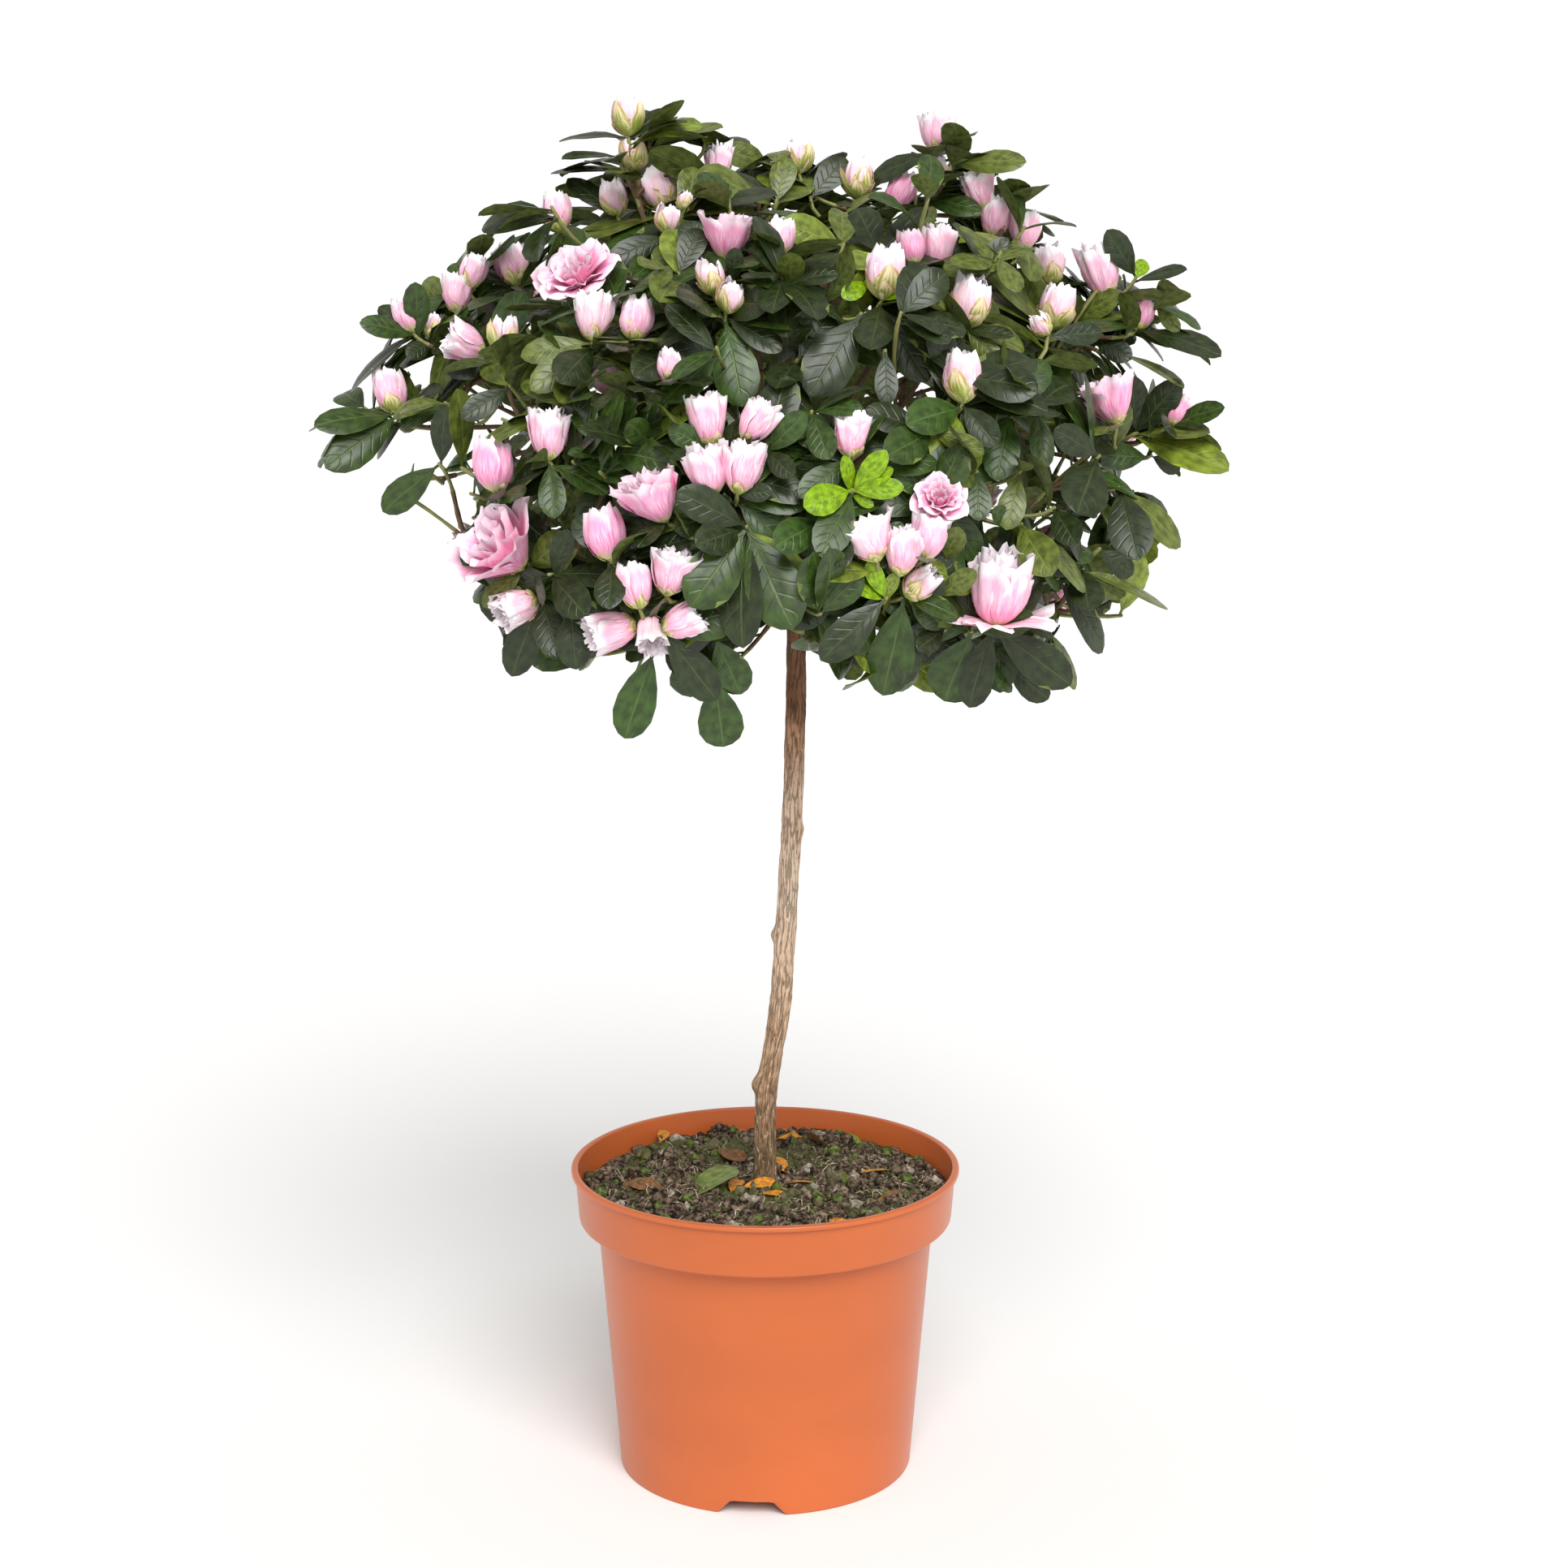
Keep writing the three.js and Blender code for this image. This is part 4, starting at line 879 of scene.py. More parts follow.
def sight(across, down):
    """The direction from the camera through a pixel of the picture."""
    right = (across - PICTURE / 2) / CAMERA["focal"]
    up = (PICTURE / 2 - down) / CAMERA["focal"]
    return unit(INWARD + right * PICTURE_RIGHT + up * PICTURE_UP)


def pixel(points):
    """Where points fall in the picture, and how far in they are."""
    seen = np.asarray(points) - CAMERA["place"]
    depth = seen @ INWARD
    across = PICTURE / 2 + CAMERA["focal"] * (seen @ PICTURE_RIGHT) / depth
    return across, PICTURE / 2 - CAMERA["focal"] * (seen @ PICTURE_UP) / depth, depth


def dome_share(points):
    """How far out points are, as a share of the dome's reach in their direction."""
    outward = points - CENTRE
    far = np.linalg.norm(outward, axis=1)
    return np.array([f / dome_reach(o / f) for o, f in zip(outward, far)])


def crown_point(across, down, swell=1.0):
    """Where the sight line through a pixel meets the dome of shoot tips, or passes nearest to it."""
    points = CAMERA["place"] + IN_SIGHT * sight(across, down)
    share = dome_share(points)
    inside = np.nonzero(share <= swell)[0]
    return points[inside[0]] if len(inside) else points[share.argmin()]


def shoot_to(point, kind, i, *given, **known):
    """A shoot whose tip is at a point: the i-th of its kind."""
    outward = point - CENTRE
    reach = np.linalg.norm(outward)
    return Shoot(outward / reach, reach, *given, seed=shoot_seed(kind, i), **known)


def heading_for(lean, facing):
    lean, facing = math.radians(lean), math.radians(facing)
    level = math.sin(lean) * PICTURE_RIGHT + math.cos(lean) * PICTURE_UP
    return math.cos(facing) * level - math.sin(facing) * INWARD


BLOOM_HEIGHT = {"small": 13, "bud": 18, "half": 23, "cup": 22, "flared": 22, "open": 14, "double": 32}
BLOOM_ROOM = {"small": 7, "bud": 9, "half": 12, "cup": 14, "flared": 20, "open": 19, "double": 20}


def seen_shoots():
    """The shoots that carry the blooms and the young rosettes of the photograph."""
    found = []
    for i, (across, down, kind, size, lean, facing, tone) in enumerate(SEEN):
        heading = heading_for(lean, facing)
        foot = crown_point(across, down) - heading * BLOOM_HEIGHT[kind] * size * 0.5
        found.append(shoot_to(foot, "bloom", i, kind, heading, size, tone))
    for i, (across, down, leaves, length, slot) in enumerate(YOUNG):
        shoot = shoot_to(crown_point(across, down), "young", i, heading=heading_for(lean=10, facing=45))
        shoot.leaves, shoot.leaf_length, shoot.leaf_slot = leaves, length, slot
        found.append(shoot)
    return found


def leaf_carriers(shoots):
    """Each seen leaf's shoot: one whose tip the picture shows at the leaf's foot, or a new one there."""
    fresh, carriers = [], []
    for i, (across, down, *_) in enumerate(SEEN_LEAVES):

        def gap(shoot):
            x, y, _ = pixel(shoot.tip)
            return math.hypot(x - across, y - down)

        best = min(shoots + fresh, key=gap)
        if gap(best) > SEEN_REACH:
            best = shoot_to(crown_point(across, down, swell=0.97), "leafy", i)
            best.leaves = SEEN_ROSETTE["leaves"]
            fresh.append(best)
        carriers.append(best)
    return fresh, carriers


def far_end(root, across, down, width):
    """Where a seen leaf's tip is: on its sight line, near the dome, at a leaf's length from its foot."""
    x, y, depth = pixel(root)
    flat = math.hypot(x - across, y - down) * depth / CAMERA["focal"]
    wide = width * depth / CAMERA["focal"]
    length = max(flat * SEEN_LEAF["bent"], min(wide * SEEN_LEAF["by_width"], SEEN_LEAF["longest"]))
    points = CAMERA["place"] + LEAF_SIGHT * sight(across, down)
    missed = np.abs(dome_share(points) - SEEN_LEAF["reach"])
    cost = SEEN_LEAF["cost"] * missed + np.abs(np.linalg.norm(points - root, axis=1) - length)
    return points[cost.argmin()], wide


def add_seen_leaves(leaves, carriers):
    """The seen leaves, each turned to show as much of its face as the picture does. Gives what they cover."""
    covered = []
    narrow, broad = SEEN_LEAF["slender"]
    for (_, _, across, down, width, slot), shoot in zip(SEEN_LEAVES, carriers):
        below = SEEN_ROSETTE["first"] + SEEN_ROSETTE["gap"] * shoot.leaf_count
        place = max(SEEN_ROSETTE["lowest"], 1 - below / length_of(shoot.line))
        shoot.carry(place)
        root, _ = at_share(shoot.line, place)
        tip, wide = far_end(root, across, down, width)
        length = float(np.linalg.norm(tip - root))
        heading = (tip - root) / length
        real = min(max(wide, narrow * length), broad * length)
        share = min(1.0, wide / real + FACE_TO_VIEW)
        viewer = unit(-INWARD + heading * (heading @ INWARD))
        level = np.cross(heading, viewer)
        level = level if level[2] > 0 else -level
        face = unit(viewer * share + level * math.sqrt(1 - share**2))
        random = shoot.random
        bend = [SEEN_RISE, *drawn(SEEN_BEND, random)]
        leaves.add(root, heading, face, length * 1.02, real, bend, slot)
        leaves.middles.append(root + heading * length * 0.65)
        shoot.leaf_count += 1
        for part in COVERED["shares"]:
            x, y, depth = pixel(root + heading * length * part)
            covered.append((x, y, depth, 0.5 * width + COVERED["margin"]))
    return np.array(covered)


def fill_shoots(others):
    """Finer shoots between the others, evenly over the dome."""
    random = seeded(FILL["seed"])
    found = []
    lowest = math.sin(math.radians(FILL["lowest"]))
    for i in range(FILL["count"]):
        height = 1 - (i + 0.5) / FILL["count"] * (1 - lowest)
        azimuth = math.degrees(i * GOLDEN_ANGLE) + between(*FILL["azimuth_wander"], random)
        elevation = math.degrees(math.asin(height)) + between(*FILL["elevation_wander"], random)
        direction = toward(azimuth, elevation)
        share = between(*FILL["reach"], random)
        flowers, stage = random(), random()
        room = math.radians(FILL["room"] if is_in_view(direction) else FILL["room_behind"])
        if any(angle_between(direction, other.direction) < room for other in others + found):
            continue
        bloom = "none"
        if flowers < FILL["flowering"]:
            bloom = "small" if stage < FILL["small_below"] else "bud" if stage < FILL["bud_below"] else "half"
        reach = dome_reach(direction) * mass_nearest(direction).reach * share
        shoot = Shoot(direction, reach, bloom, seed=shoot_seed("fill", i))
        if not in_sky(shoot.tip):
            found.append(shoot)
    return found


def is_in_view(direction):
    """Whether this side of the crown is one whose blooms the picture shows."""
    return direction @ -INWARD > SIDE_VIEW


def twig_line(shoot, root, lean_out, random):
    """A twig's line from its root to its tip, which turns up or follows the bloom's heading."""
    lift = between(*TWIG["lift"], random)
    rising = unit(shoot.direction + UP * lift)
    shoot.ending = rising if shoot.heading is None else unit(shoot.heading * TWIG["follow"] + rising)
    run = np.linalg.norm(shoot.tip - root)
    set_off = unit(unit(shoot.tip - root) + lean_out)
    bend = run * TWIG["bend"]
    return bezier(root, root + set_off * bend, shoot.tip - shoot.ending * bend, shoot.tip, TWIG["points"])


def grow(main, side):
    """Gives every shoot its line: the main ones start on their mass's stem, the side ones on the nearest twig."""
    for shoot in main:
        shoot.random = seeded(shoot.seed)
        offset = angle_between(shoot.direction, shoot.mass.direction)
        share = max(TWIG_ROOT["lowest"], TWIG_ROOT["first"] - offset * TWIG_ROOT["retreat"])
        root = shoot.mass.stem[0] + (shoot.mass.stem[-1] - shoot.mass.stem[0]) * share
        shoot.line = twig_line(shoot, root, shoot.mass.direction, shoot.random)
        shoot.mass.twigs.append(shoot)
    for shoot in side:
        shoot.random = seeded(shoot.seed)
        roots = [
            (*at_share(twig.line, share), twig, share) for twig in shoot.mass.twigs for share in SIDE_TWIG["forks"]
        ]
        roots.append((shoot.mass.stem[-1], shoot.mass.direction, None, 0))
        least = SIDE_TWIG["least_run"]
        behind = [root for root in roots if (shoot.tip - root[0]) @ shoot.direction > least] or roots
        root, along, twig, share = min(behind, key=lambda found: np.linalg.norm(found[0] - shoot.tip))
        shoot.parent, shoot.parent_share = twig, share
        shoot.line = twig_line(shoot, root, along, shoot.random)


# ---- Leaves ----

LEAF_ROWS = np.array([0, 0.09, 0.2, 0.36, 0.54, 0.72, 0.87, 0.96, 1.0])
LEAF_COLUMNS = np.array([-1, -0.62, -0.3, 0, 0.3, 0.62, 1.0])
LEAF = {"least": 27, "most": 41, "slender": (0.4, 0.54), "stalk": 0.09, "thick": 0.4}
# A shoot's leaves: how many are below its tip, from the tip down to the first and from each to the next, and the
# share of its line below which none grows. The inmost are smaller, up to the one that is full grown, and each leans
# out less than the last. Then the same for the few down its twig, which end at a share of its length.
ROSETTE = {
    "leaves": (6, 8), "first": 0.8, "gap": 1.15, "lowest": 0.2, "inmost": 0.72, "growth": 0.28, "grown": 3,
    "size": (0.88, 1.08), "lean": (0.55, 0.8), "less_lean": 0.11, "roll": (-0.3, 0.3),
}  # fmt: skip
DOWN_TWIG = {
    "first": 15.0, "last": 46, "share": 0.6, "gap": (8, 13), "size": (0.75, 1.0), "turn": 0.9, "lean": (0.2, 0.7),
}  # fmt: skip
# How leaves bend, as ranges: the heading's rise at the foot and its droop to the tip, the fold along the rib, the
# edges' curl, their wave and its phase, and the twist. The seen leaves all rise alike.
LEAF_BEND = {
    "rise": (0.05, 0.35), "droop": (0.1, 0.55), "fold": (0.16, 0.36), "curl": (0.12, 0.34), "wave": (-0.07, 0.07),
    "phase": (0, 6), "twist": (-0.4, 0.4),
}  # fmt: skip
SEEN_RISE = 0.16
SEEN_BEND = {
    "droop": (0.15, 0.3), "fold": (0.14, 0.26), "curl": (0.14, 0.28), "wave": (-0.05, 0.05), "phase": (0, 6),
    "twist": (-0.15, 0.15),
}  # fmt: skip
# Shares up to which leaves take each green, and how far one may stray from its shoot's own.
GREENS = {"dark": 0.42, "less_high": 0.1, "mid": 0.74, "low": 0.9, "high_from": 0.3, "olive": 0.965, "stray": 0.35}
# Where a leaf may go: turns that are tried, the angle from one to the next, what that costs against room,
# the most room that counts, how many of the last leaves are looked at, and how far up the leaf may be bent.
SETTLING = {"tries": 7, "turn": 0.37, "cost": 0.8, "most_room": 14.0, "neighbours": 160, "lifts": (-0.2, 0.35)}


class Leaves:
    """Every leaf as a row of numbers, worked into points all at once."""

    def __init__(self):
        self.rows, self.slots, self.unders = [], [], []
        self.middles = []

    def add(self, root, heading, face, length, width, bend, slot, under=None):
        """bend holds rise, droop, fold, curl, wave, the wave's phase and twist."""
        under = under or ("under_young" if slot in ("young", "bright") else "under")
        self.rows.append([*root, *heading, *face, length, width, *bend])
        self.slots.append(LEAF_SLOTS.index(slot))
        self.unders.append(LEAF_SLOTS.index(under))

    def grids(self):
        """The upper and the lower face of every leaf, as (n, rows, columns, 3)."""
        rows = np.array(self.rows)
        root, heading, face = rows[:, 0:3], rows[:, 3:6], rows[:, 6:9]
        length, width = rows[:, 9, None, None], rows[:, 10, None, None]
        rise, droop, fold, curl, wave, phase, twist = (rows[:, 11 + k, None, None] for k in range(7))
        side = np.cross(face, heading)
        s, t = LEAF_ROWS[None, :, None], LEAF_COLUMNS[None, None, :]
        blade = np.clip((s - LEAF["stalk"]) / (1 - LEAF["stalk"]), 0, 1)
        outline = blade**0.75 * (1 - blade**1.95) ** 0.64 / 0.507
        half = width / 2 * np.maximum(outline, np.where(s < 0.5, 0.09, 0.02))
        fine = np.linspace(0, 1, FINE + 1)[None, :]
        slope = rise[:, :, 0] - (rise + droop)[:, :, 0] * fine**1.4
        x, z = swept(slope)
        at = (LEAF_ROWS * FINE).round().astype(int)
        x, z, slope = x[:, at][..., None] * length, z[:, at][..., None] * length, slope[:, at][..., None]
        lifted = half * (fold * np.abs(t) - curl * t**2)
        lifted = lifted + half * wave * np.sin(9 * s + phase + np.sign(t)) * t**2
        turn = twist * s
        out, up = t * half * np.cos(turn) - lifted * np.sin(turn), t * half * np.sin(turn) + lifted * np.cos(turn)
        thick = LEAF["thick"] * (1 - t**2) + 0.45 * np.exp(-((t / 0.2) ** 2)) * (1 - 0.7 * s)

        def sheet(below):
            lift = up - below
            level, upright = x - lift * np.sin(slope), z + lift * np.cos(slope)
            return on_axes(root, (level, heading), (out + 0 * level, side), (upright, face))

        return sheet(0.0), sheet(thick)[:, :, ::-1]

    def gather(self, groups):
        """Adds the leaves to gathered pieces: groups gives the index of each leaf's piece."""
        tops, bottoms = self.grids()
        slots, unders = np.array(self.slots), np.array(self.unders)
        pieces = [Gathered() for _ in range(max(groups) + 1)]
        for index, piece in enumerate(pieces):
            mine = np.array(groups) == index
            piece.add(tops[mine], slots[mine], LEAF_ROWS)
            piece.add(bottoms[mine], unders[mine], LEAF_ROWS)
        return pieces


def seen_blooms(shoots):
    """The middle of each bloom and young rosette that has to stay in view, in the picture, and its width there."""
    found = []
    for shoot in shoots:
        if shoot.heading is None:
            continue
        middle, wide = shoot.tip + shoot.heading * 4, 13
        if shoot.bloom != "none":
            middle = shoot.tip + shoot.heading * BLOOM_HEIGHT[shoot.bloom] * shoot.size * 0.55
            wide = BLOOM_ROOM[shoot.bloom] * shoot.size
        across, down, depth = pixel(middle)
        found.append((across, down, depth, wide * CAMERA["focal"] / depth))
    return np.array(found)


def hides(points, blooms):
    across, down, depth = (value[:, None] for value in pixel(points))
    near = np.hypot(across - blooms[:, 0], down - blooms[:, 1]) < blooms[:, 3]
    return bool((near & (depth < blooms[:, 2] + 4)).any())


def leaves_outline(points):
    """Whether any of these points comes too near to the crown's outline, or lies outside it."""
    above = points[:, 2] > np.interp(points[:, 0], *CROWN_TOP) - OUTLINE_ROOM
    below = points[:, 2] < np.interp(points[:, 0], *CROWN_FOOT) + OUTLINE_ROOM
    return bool((above | below).any())


def leaf_slot(shoot):
    """Which green a leaf has: dealt out by shoot, with a stray here and there."""
    high = shoot.direction[2]
    draw = (shoot.green + GREENS["stray"] * (shoot.random() - 0.5)) % 1.0
    if draw < GREENS["dark"] - GREENS["less_high"] * high:
        return "dark"
    if draw < GREENS["mid"]:
        return "mid"
    if draw < GREENS["low"]:
        return "low" if high < GREENS["high_from"] else "olive"
    return "olive" if draw < GREENS["olive"] else "young"


def add_leaf(leaves, shoot, place, turn, lean, length, blooms, slot=None):
    """A leaf on a twig. It is turned on until it hides no bloom and keeps off the leaves beside it."""
    random = shoot.random
    root, along = at_share(shoot.line, place)
    across = unit(np.cross(along, EAST if abs(along[2]) > 0.9 else UP))
    width = length * between(*LEAF["slender"], random)
    bend = drawn(LEAF_BEND, random)
    roll = between(*ROSETTE["roll"], random)
    best, chosen = -1e9, None
    near = np.array(leaves.middles[-SETTLING["neighbours"] :])
    for lift in SETTLING["lifts"]:
        for attempt in range(SETTLING["tries"]):
            heading = turned(across, along, turn + attempt * SETTLING["turn"]) + along * lean
            heading = unit(heading + UP * lift)
            points = root + heading * length * np.array([[0.35], [0.65], [0.95]])
            if leaves_outline(points[1:]) or hides(points, blooms):
                continue
            gap = np.linalg.norm(near - points[1], axis=1).min()
            score = min(gap, SETTLING["most_room"]) - attempt * SETTLING["cost"]
            if score > best:
                best, chosen = score, (heading, points[1])
        if chosen is not None:
            break
    if chosen is None:
        return
    heading, middle = chosen
    face = unit(along - heading * (along @ heading) + UP * 0.25 - heading * heading[2] * 0.25)
    face = turned(face, heading, roll)
    leaves.middles.append(middle)
    leaves.add(root, heading, face, length, width, bend, slot or leaf_slot(shoot))
    shoot.leaf_count += 1
    shoot.carry(place)


def dress(leaves, shoot, blooms):
    """A shoot's leaves: a rosette below its tip, smaller ones inmost, then a few down its twig."""
    random = shoot.random
    shoot.green = random()
    run = length_of(shoot.line)
    count = shoot.leaves or round(between(*ROSETTE["leaves"], random))
    full = shoot.leaf_length or between(LEAF["least"] + 4, LEAF["most"], random)
    twist = random() * 2 * math.pi
    for i in range(count):
        place = max(ROSETTE["lowest"], 1 - (ROSETTE["first"] + i * ROSETTE["gap"]) / run)
        grown = ROSETTE["inmost"] + ROSETTE["growth"] * min(1, i / ROSETTE["grown"])
        size = full * grown * between(*ROSETTE["size"], random)
        lean = between(*ROSETTE["lean"], random) - ROSETTE["less_lean"] * i
        add_leaf(leaves, shoot, place, twist + i * GOLDEN_ANGLE, lean, size, blooms, shoot.leaf_slot)
    back = DOWN_TWIG["first"]
    while back < min(run * DOWN_TWIG["share"], DOWN_TWIG["last"]):
        size = full * between(*DOWN_TWIG["size"], random)
        turn, lean = twist + back * DOWN_TWIG["turn"], between(*DOWN_TWIG["lean"], random)
        add_leaf(leaves, shoot, 1 - back / run, turn, lean, size, blooms)
        back += between(*DOWN_TWIG["gap"], random)


# ---- Blooms ----

# Each whorl of a bloom: petals, length, half width, the angles from the axis at foot, middle and tip, how far
# the rim is ruffled, the greatest half turn that a petal wraps, and its paint: tone, or scale.
BLOOMS = {
    "small": [
        (3, 16, 5.2, (64, 0, -36), 0.9, 1.25, "tone"),
        (4, 13, 5.6, (71, 14, -18), 0.3, 0.95, "scale"),
        (4, 8, 5.2, (75, 34, 12), 0.3, 0.9, "scale"),
    ],
    "bud": [
        (3, 20.5, 7.5, (54, -2, -26), 1.6, 1.3, "tone"),
        (4, 21, 8.5, (66, -2, -33), 1.3, 1.15, "tone"),
        (4, 14, 7, (73, 22, -4), 0.4, 0.85, "scale"),
        (4, 8.5, 6, (77, 43, 22), 0.3, 0.9, "scale"),
    ],
    "half": [
        (4, 24, 8, (34, -4, -8), 2.6, 1.15, "tone"),
        (5, 25.5, 9.5, (50, -4, -8), 2.6, 1.1, "tone"),
        (5, 26, 11.5, (62, -8, 4), 2.4, 1.0, "tone"),
        (5, 11, 6, (71, 34, 22), 0.4, 0.8, "scale"),
    ],
    "cup": [
        (5, 23, 8, (30, 2, 0), 2.9, 1.15, "tone"),
        (5, 26, 11, (48, 2, 4), 2.9, 1.1, "tone"),
        (5, 28, 13.5, (62, 4, 26), 2.8, 1.05, "tone"),
        (5, 9, 5.6, (67, 44, 36), 0.3, 0.85, "scale"),
    ],
    "flared": [
        (6, 24, 8.5, (24, 4, 12), 2.6, 1.1, "tone"),
        (5, 28, 11, (40, 16, 30), 2.6, 1.0, "tone"),
        (5, 32, 14, (52, 28, 58), 2.2, 0.95, "tone"),
        (5, 9, 5.4, (64, 50, 44), 0.3, 0.8, "scale"),
    ],
    "open": [
        (5, 19, 7, (18, 6, 10), 2.4, 1.1, "tone"),
        (5, 23, 10, (34, 12, 34), 2.6, 1.0, "tone"),
        (6, 26, 12, (44, 30, 66), 2.4, 0.95, "tone"),
        (6, 28, 13.5, (50, 50, 96), 2.0, 0.9, "tone"),
        (4, 8, 4.8, (64, 58, 58), 0.2, 0.8, "scale"),
    ],
    "double": [
        (5, 31, 8, (22, 0, 0), 2.4, 1.1, "tone"),
        (5, 34, 10.5, (40, -4, -12), 2.6, 1.05, "tone"),
        (5, 36, 12.5, (64, -6, -10), 2.4, 1.0, "tone"),
        (4, 34, 12, (68, 0, 4), 2.6, 0.9, "tone"),
        (5, 29, 12, (74, 72, 90), 2.4, 0.9, "tone"),
        (5, 9, 5.4, (78, 76, 72), 0.3, 0.8, "scale"),
    ],
}
PETAL_GRID = (8, 13)
SCALE_GRID = (7, 6)
SCALE_POINT = 0.85  # how far a scale narrows to its tip
SCALE_REACH = {"pale": 1.05, "pink": 0.8, "deep": 0.62}  # riper blooms have outgrown their scales
PETAL_THICK = 0.35
TONES = ("pale", "pink", "pink", "deep")  # dealt out to the blooms that the photograph doesn't show
WANDER = {"size": (0.85, 1.15), "turn": (-0.12, 0.12), "angle": (-7, 7), "length": (0.86, 1.06)}


def add_bloom(petals, scales, shoot):
    """The whorls of a shoot's bloom, from the inmost petals to the scales."""
    random = shoot.random
    heading = shoot.ending if shoot.heading is None else shoot.heading
    size = shoot.size if shoot.tone else between(*WANDER["size"], random)
    tone = shoot.tone or TONES[int(random() * len(TONES))]
    side = unit(np.cross(heading, EAST if abs(heading[0]) < 0.9 else UP))
    other = np.cross(heading, side)
    for count, length, half, angles, ruffle, wrap, paint in BLOOMS[shoot.bloom]:
        start = random() * 2 * math.pi
        for i in range(count):
            turn = start + 2 * math.pi * i / count + between(*WANDER["turn"], random)
            opened = [math.radians(angle + between(*WANDER["angle"], random)) for angle in angles]
            drawn_out = SCALE_REACH[tone] if paint == "scale" else 1
            reach = size * length * between(*WANDER["length"], random) * drawn_out
            row = [*shoot.tip, *side, *other, *heading, turn, reach]
            row += [size * half, *opened, size * ruffle, wrap, 6 * random(), 6 * random()]
            if paint == "scale":
                scales.add(row, "scale", "scale")
            else:
                petals.add(row, tone, tone + "_inside")


class Petals:
    """Every petal as a row of numbers, worked into points all at once."""

    def __init__(self, size, point=0.0):
        self.size, self.point = size, point
        self.rows, self.slots, self.insides = [], [], []

    def add(self, row, slot, inside):
        self.rows.append(row)
        self.slots.append(PETAL_SLOTS.index(slot))
        self.insides.append(PETAL_SLOTS.index(inside))

    def gather(self, piece):
        outer, inner = self.grids()
        piece.add(outer, self.slots)
        piece.add(inner, self.insides)

    def grids(self):
        """The outer and the inner face of every petal."""
        rows = np.array(self.rows)
        foot, side, other, heading = (rows[:, k : k + 3] for k in (0, 3, 6, 9))
        turn, length, half, low, middle, high, ruffle, wrap, phase, beat = (
            rows[:, 12 + k, None, None] for k in range(10)
        )
        fine = np.linspace(0, 1, FINE + 1)[None, :]
        slope = (1 - fine) ** 2 * low[:, 0] + 2 * fine * (1 - fine) * middle[:, 0] + fine**2 * high[:, 0]
        rising, radial = swept(slope)
        s0 = np.linspace(0, 1, self.size[0])[None, :, None]
        t = np.linspace(-1, 1, self.size[1])[None, None, :]
        s = s0 * (1 - 0.17 * t**2 * s0)
        place = s * FINE
        i = np.minimum(place.astype(int), FINE - 1)
        part = place - i
        pick = np.arange(len(rows))[:, None, None]

        def along(table):
            return table[pick, i] * (1 - part) + table[pick, i + 1] * part

        radius = 1.0 + length * along(radial)
        height = length * along(rising)
        angle = along(slope)
        width = half * (0.3 + 0.7 * np.sin(math.pi * np.clip(s * 0.72, 0, 1)) ** 0.9) * (1 - 0.28 * s**6)
        width = width * (1 - self.point * s**2.2)
        spread = np.minimum(width / np.maximum(radius, 1.0), wrap)
        rim = np.maximum(s**3, np.abs(t) ** 2.5 * s)
        round_rim = np.arctan2(t, 0.25 + s)
        ripple = np.sin(8 * round_rim + phase) + 0.6 * np.sin(15 * round_rim + beat)
        ripple = ripple + 0.3 * np.sin(11 * t + phase)
        push = ruffle * rim * ripple * 0.62 + 0.4 * t
        crease = 0.35 * np.cos(3 * math.pi * t) * s * (1 - s) * 2
        lip = 0.42 * ruffle * s**4 * (np.sin(11 * t + beat) - 0.9 * t**2)
        around = turn + t * spread + 0.05 * np.sin(14 * s + beat) * np.abs(t)

        def sheet(inward):
            out = push + crease - inward
            r, h = radius + out * np.cos(angle), height - out * np.sin(angle) + lip
            return on_axes(foot, (r * np.cos(around), side), (r * np.sin(around), other), (h, heading))

        thick = PETAL_THICK * (1 - np.maximum(np.abs(t) ** 4, s0**6)) * np.minimum(1, s0 * 8)
        return sheet(0.0), sheet(thick)[:, :, ::-1]


# ---- Pot and soil ----


def rounded(corners, steps=4):
    """A profile whose corners are rounded: each is a radius, a height and its rounding."""
    found = []
    for i, (radius, height, fillet) in enumerate(corners):
        here = np.array([radius, height], float)
        if fillet == 0 or i in (0, len(corners) - 1):
            found.append(here)
            continue
        before = np.array(corners[i - 1][:2]) - here
        after = np.array(corners[i + 1][:2]) - here
        start, end = here + unit(before) * fillet, here + unit(after) * fillet
        for share in np.linspace(0, 1, steps + 1):
            found.append((1 - share) ** 2 * start + 2 * share * (1 - share) * here + share**2 * end)
    return np.array(found)


def body_radius(height):
    return POT["base"] + (POT["shoulder"] - POT["base"]) * height / POT["band_height"]


def band_radius(height):
    share = (height - POT["band_height"]) / (POT["height"] - POT["band_height"])
    return POT["band_foot"] + (POT["band_top"] - POT["band_foot"]) * share


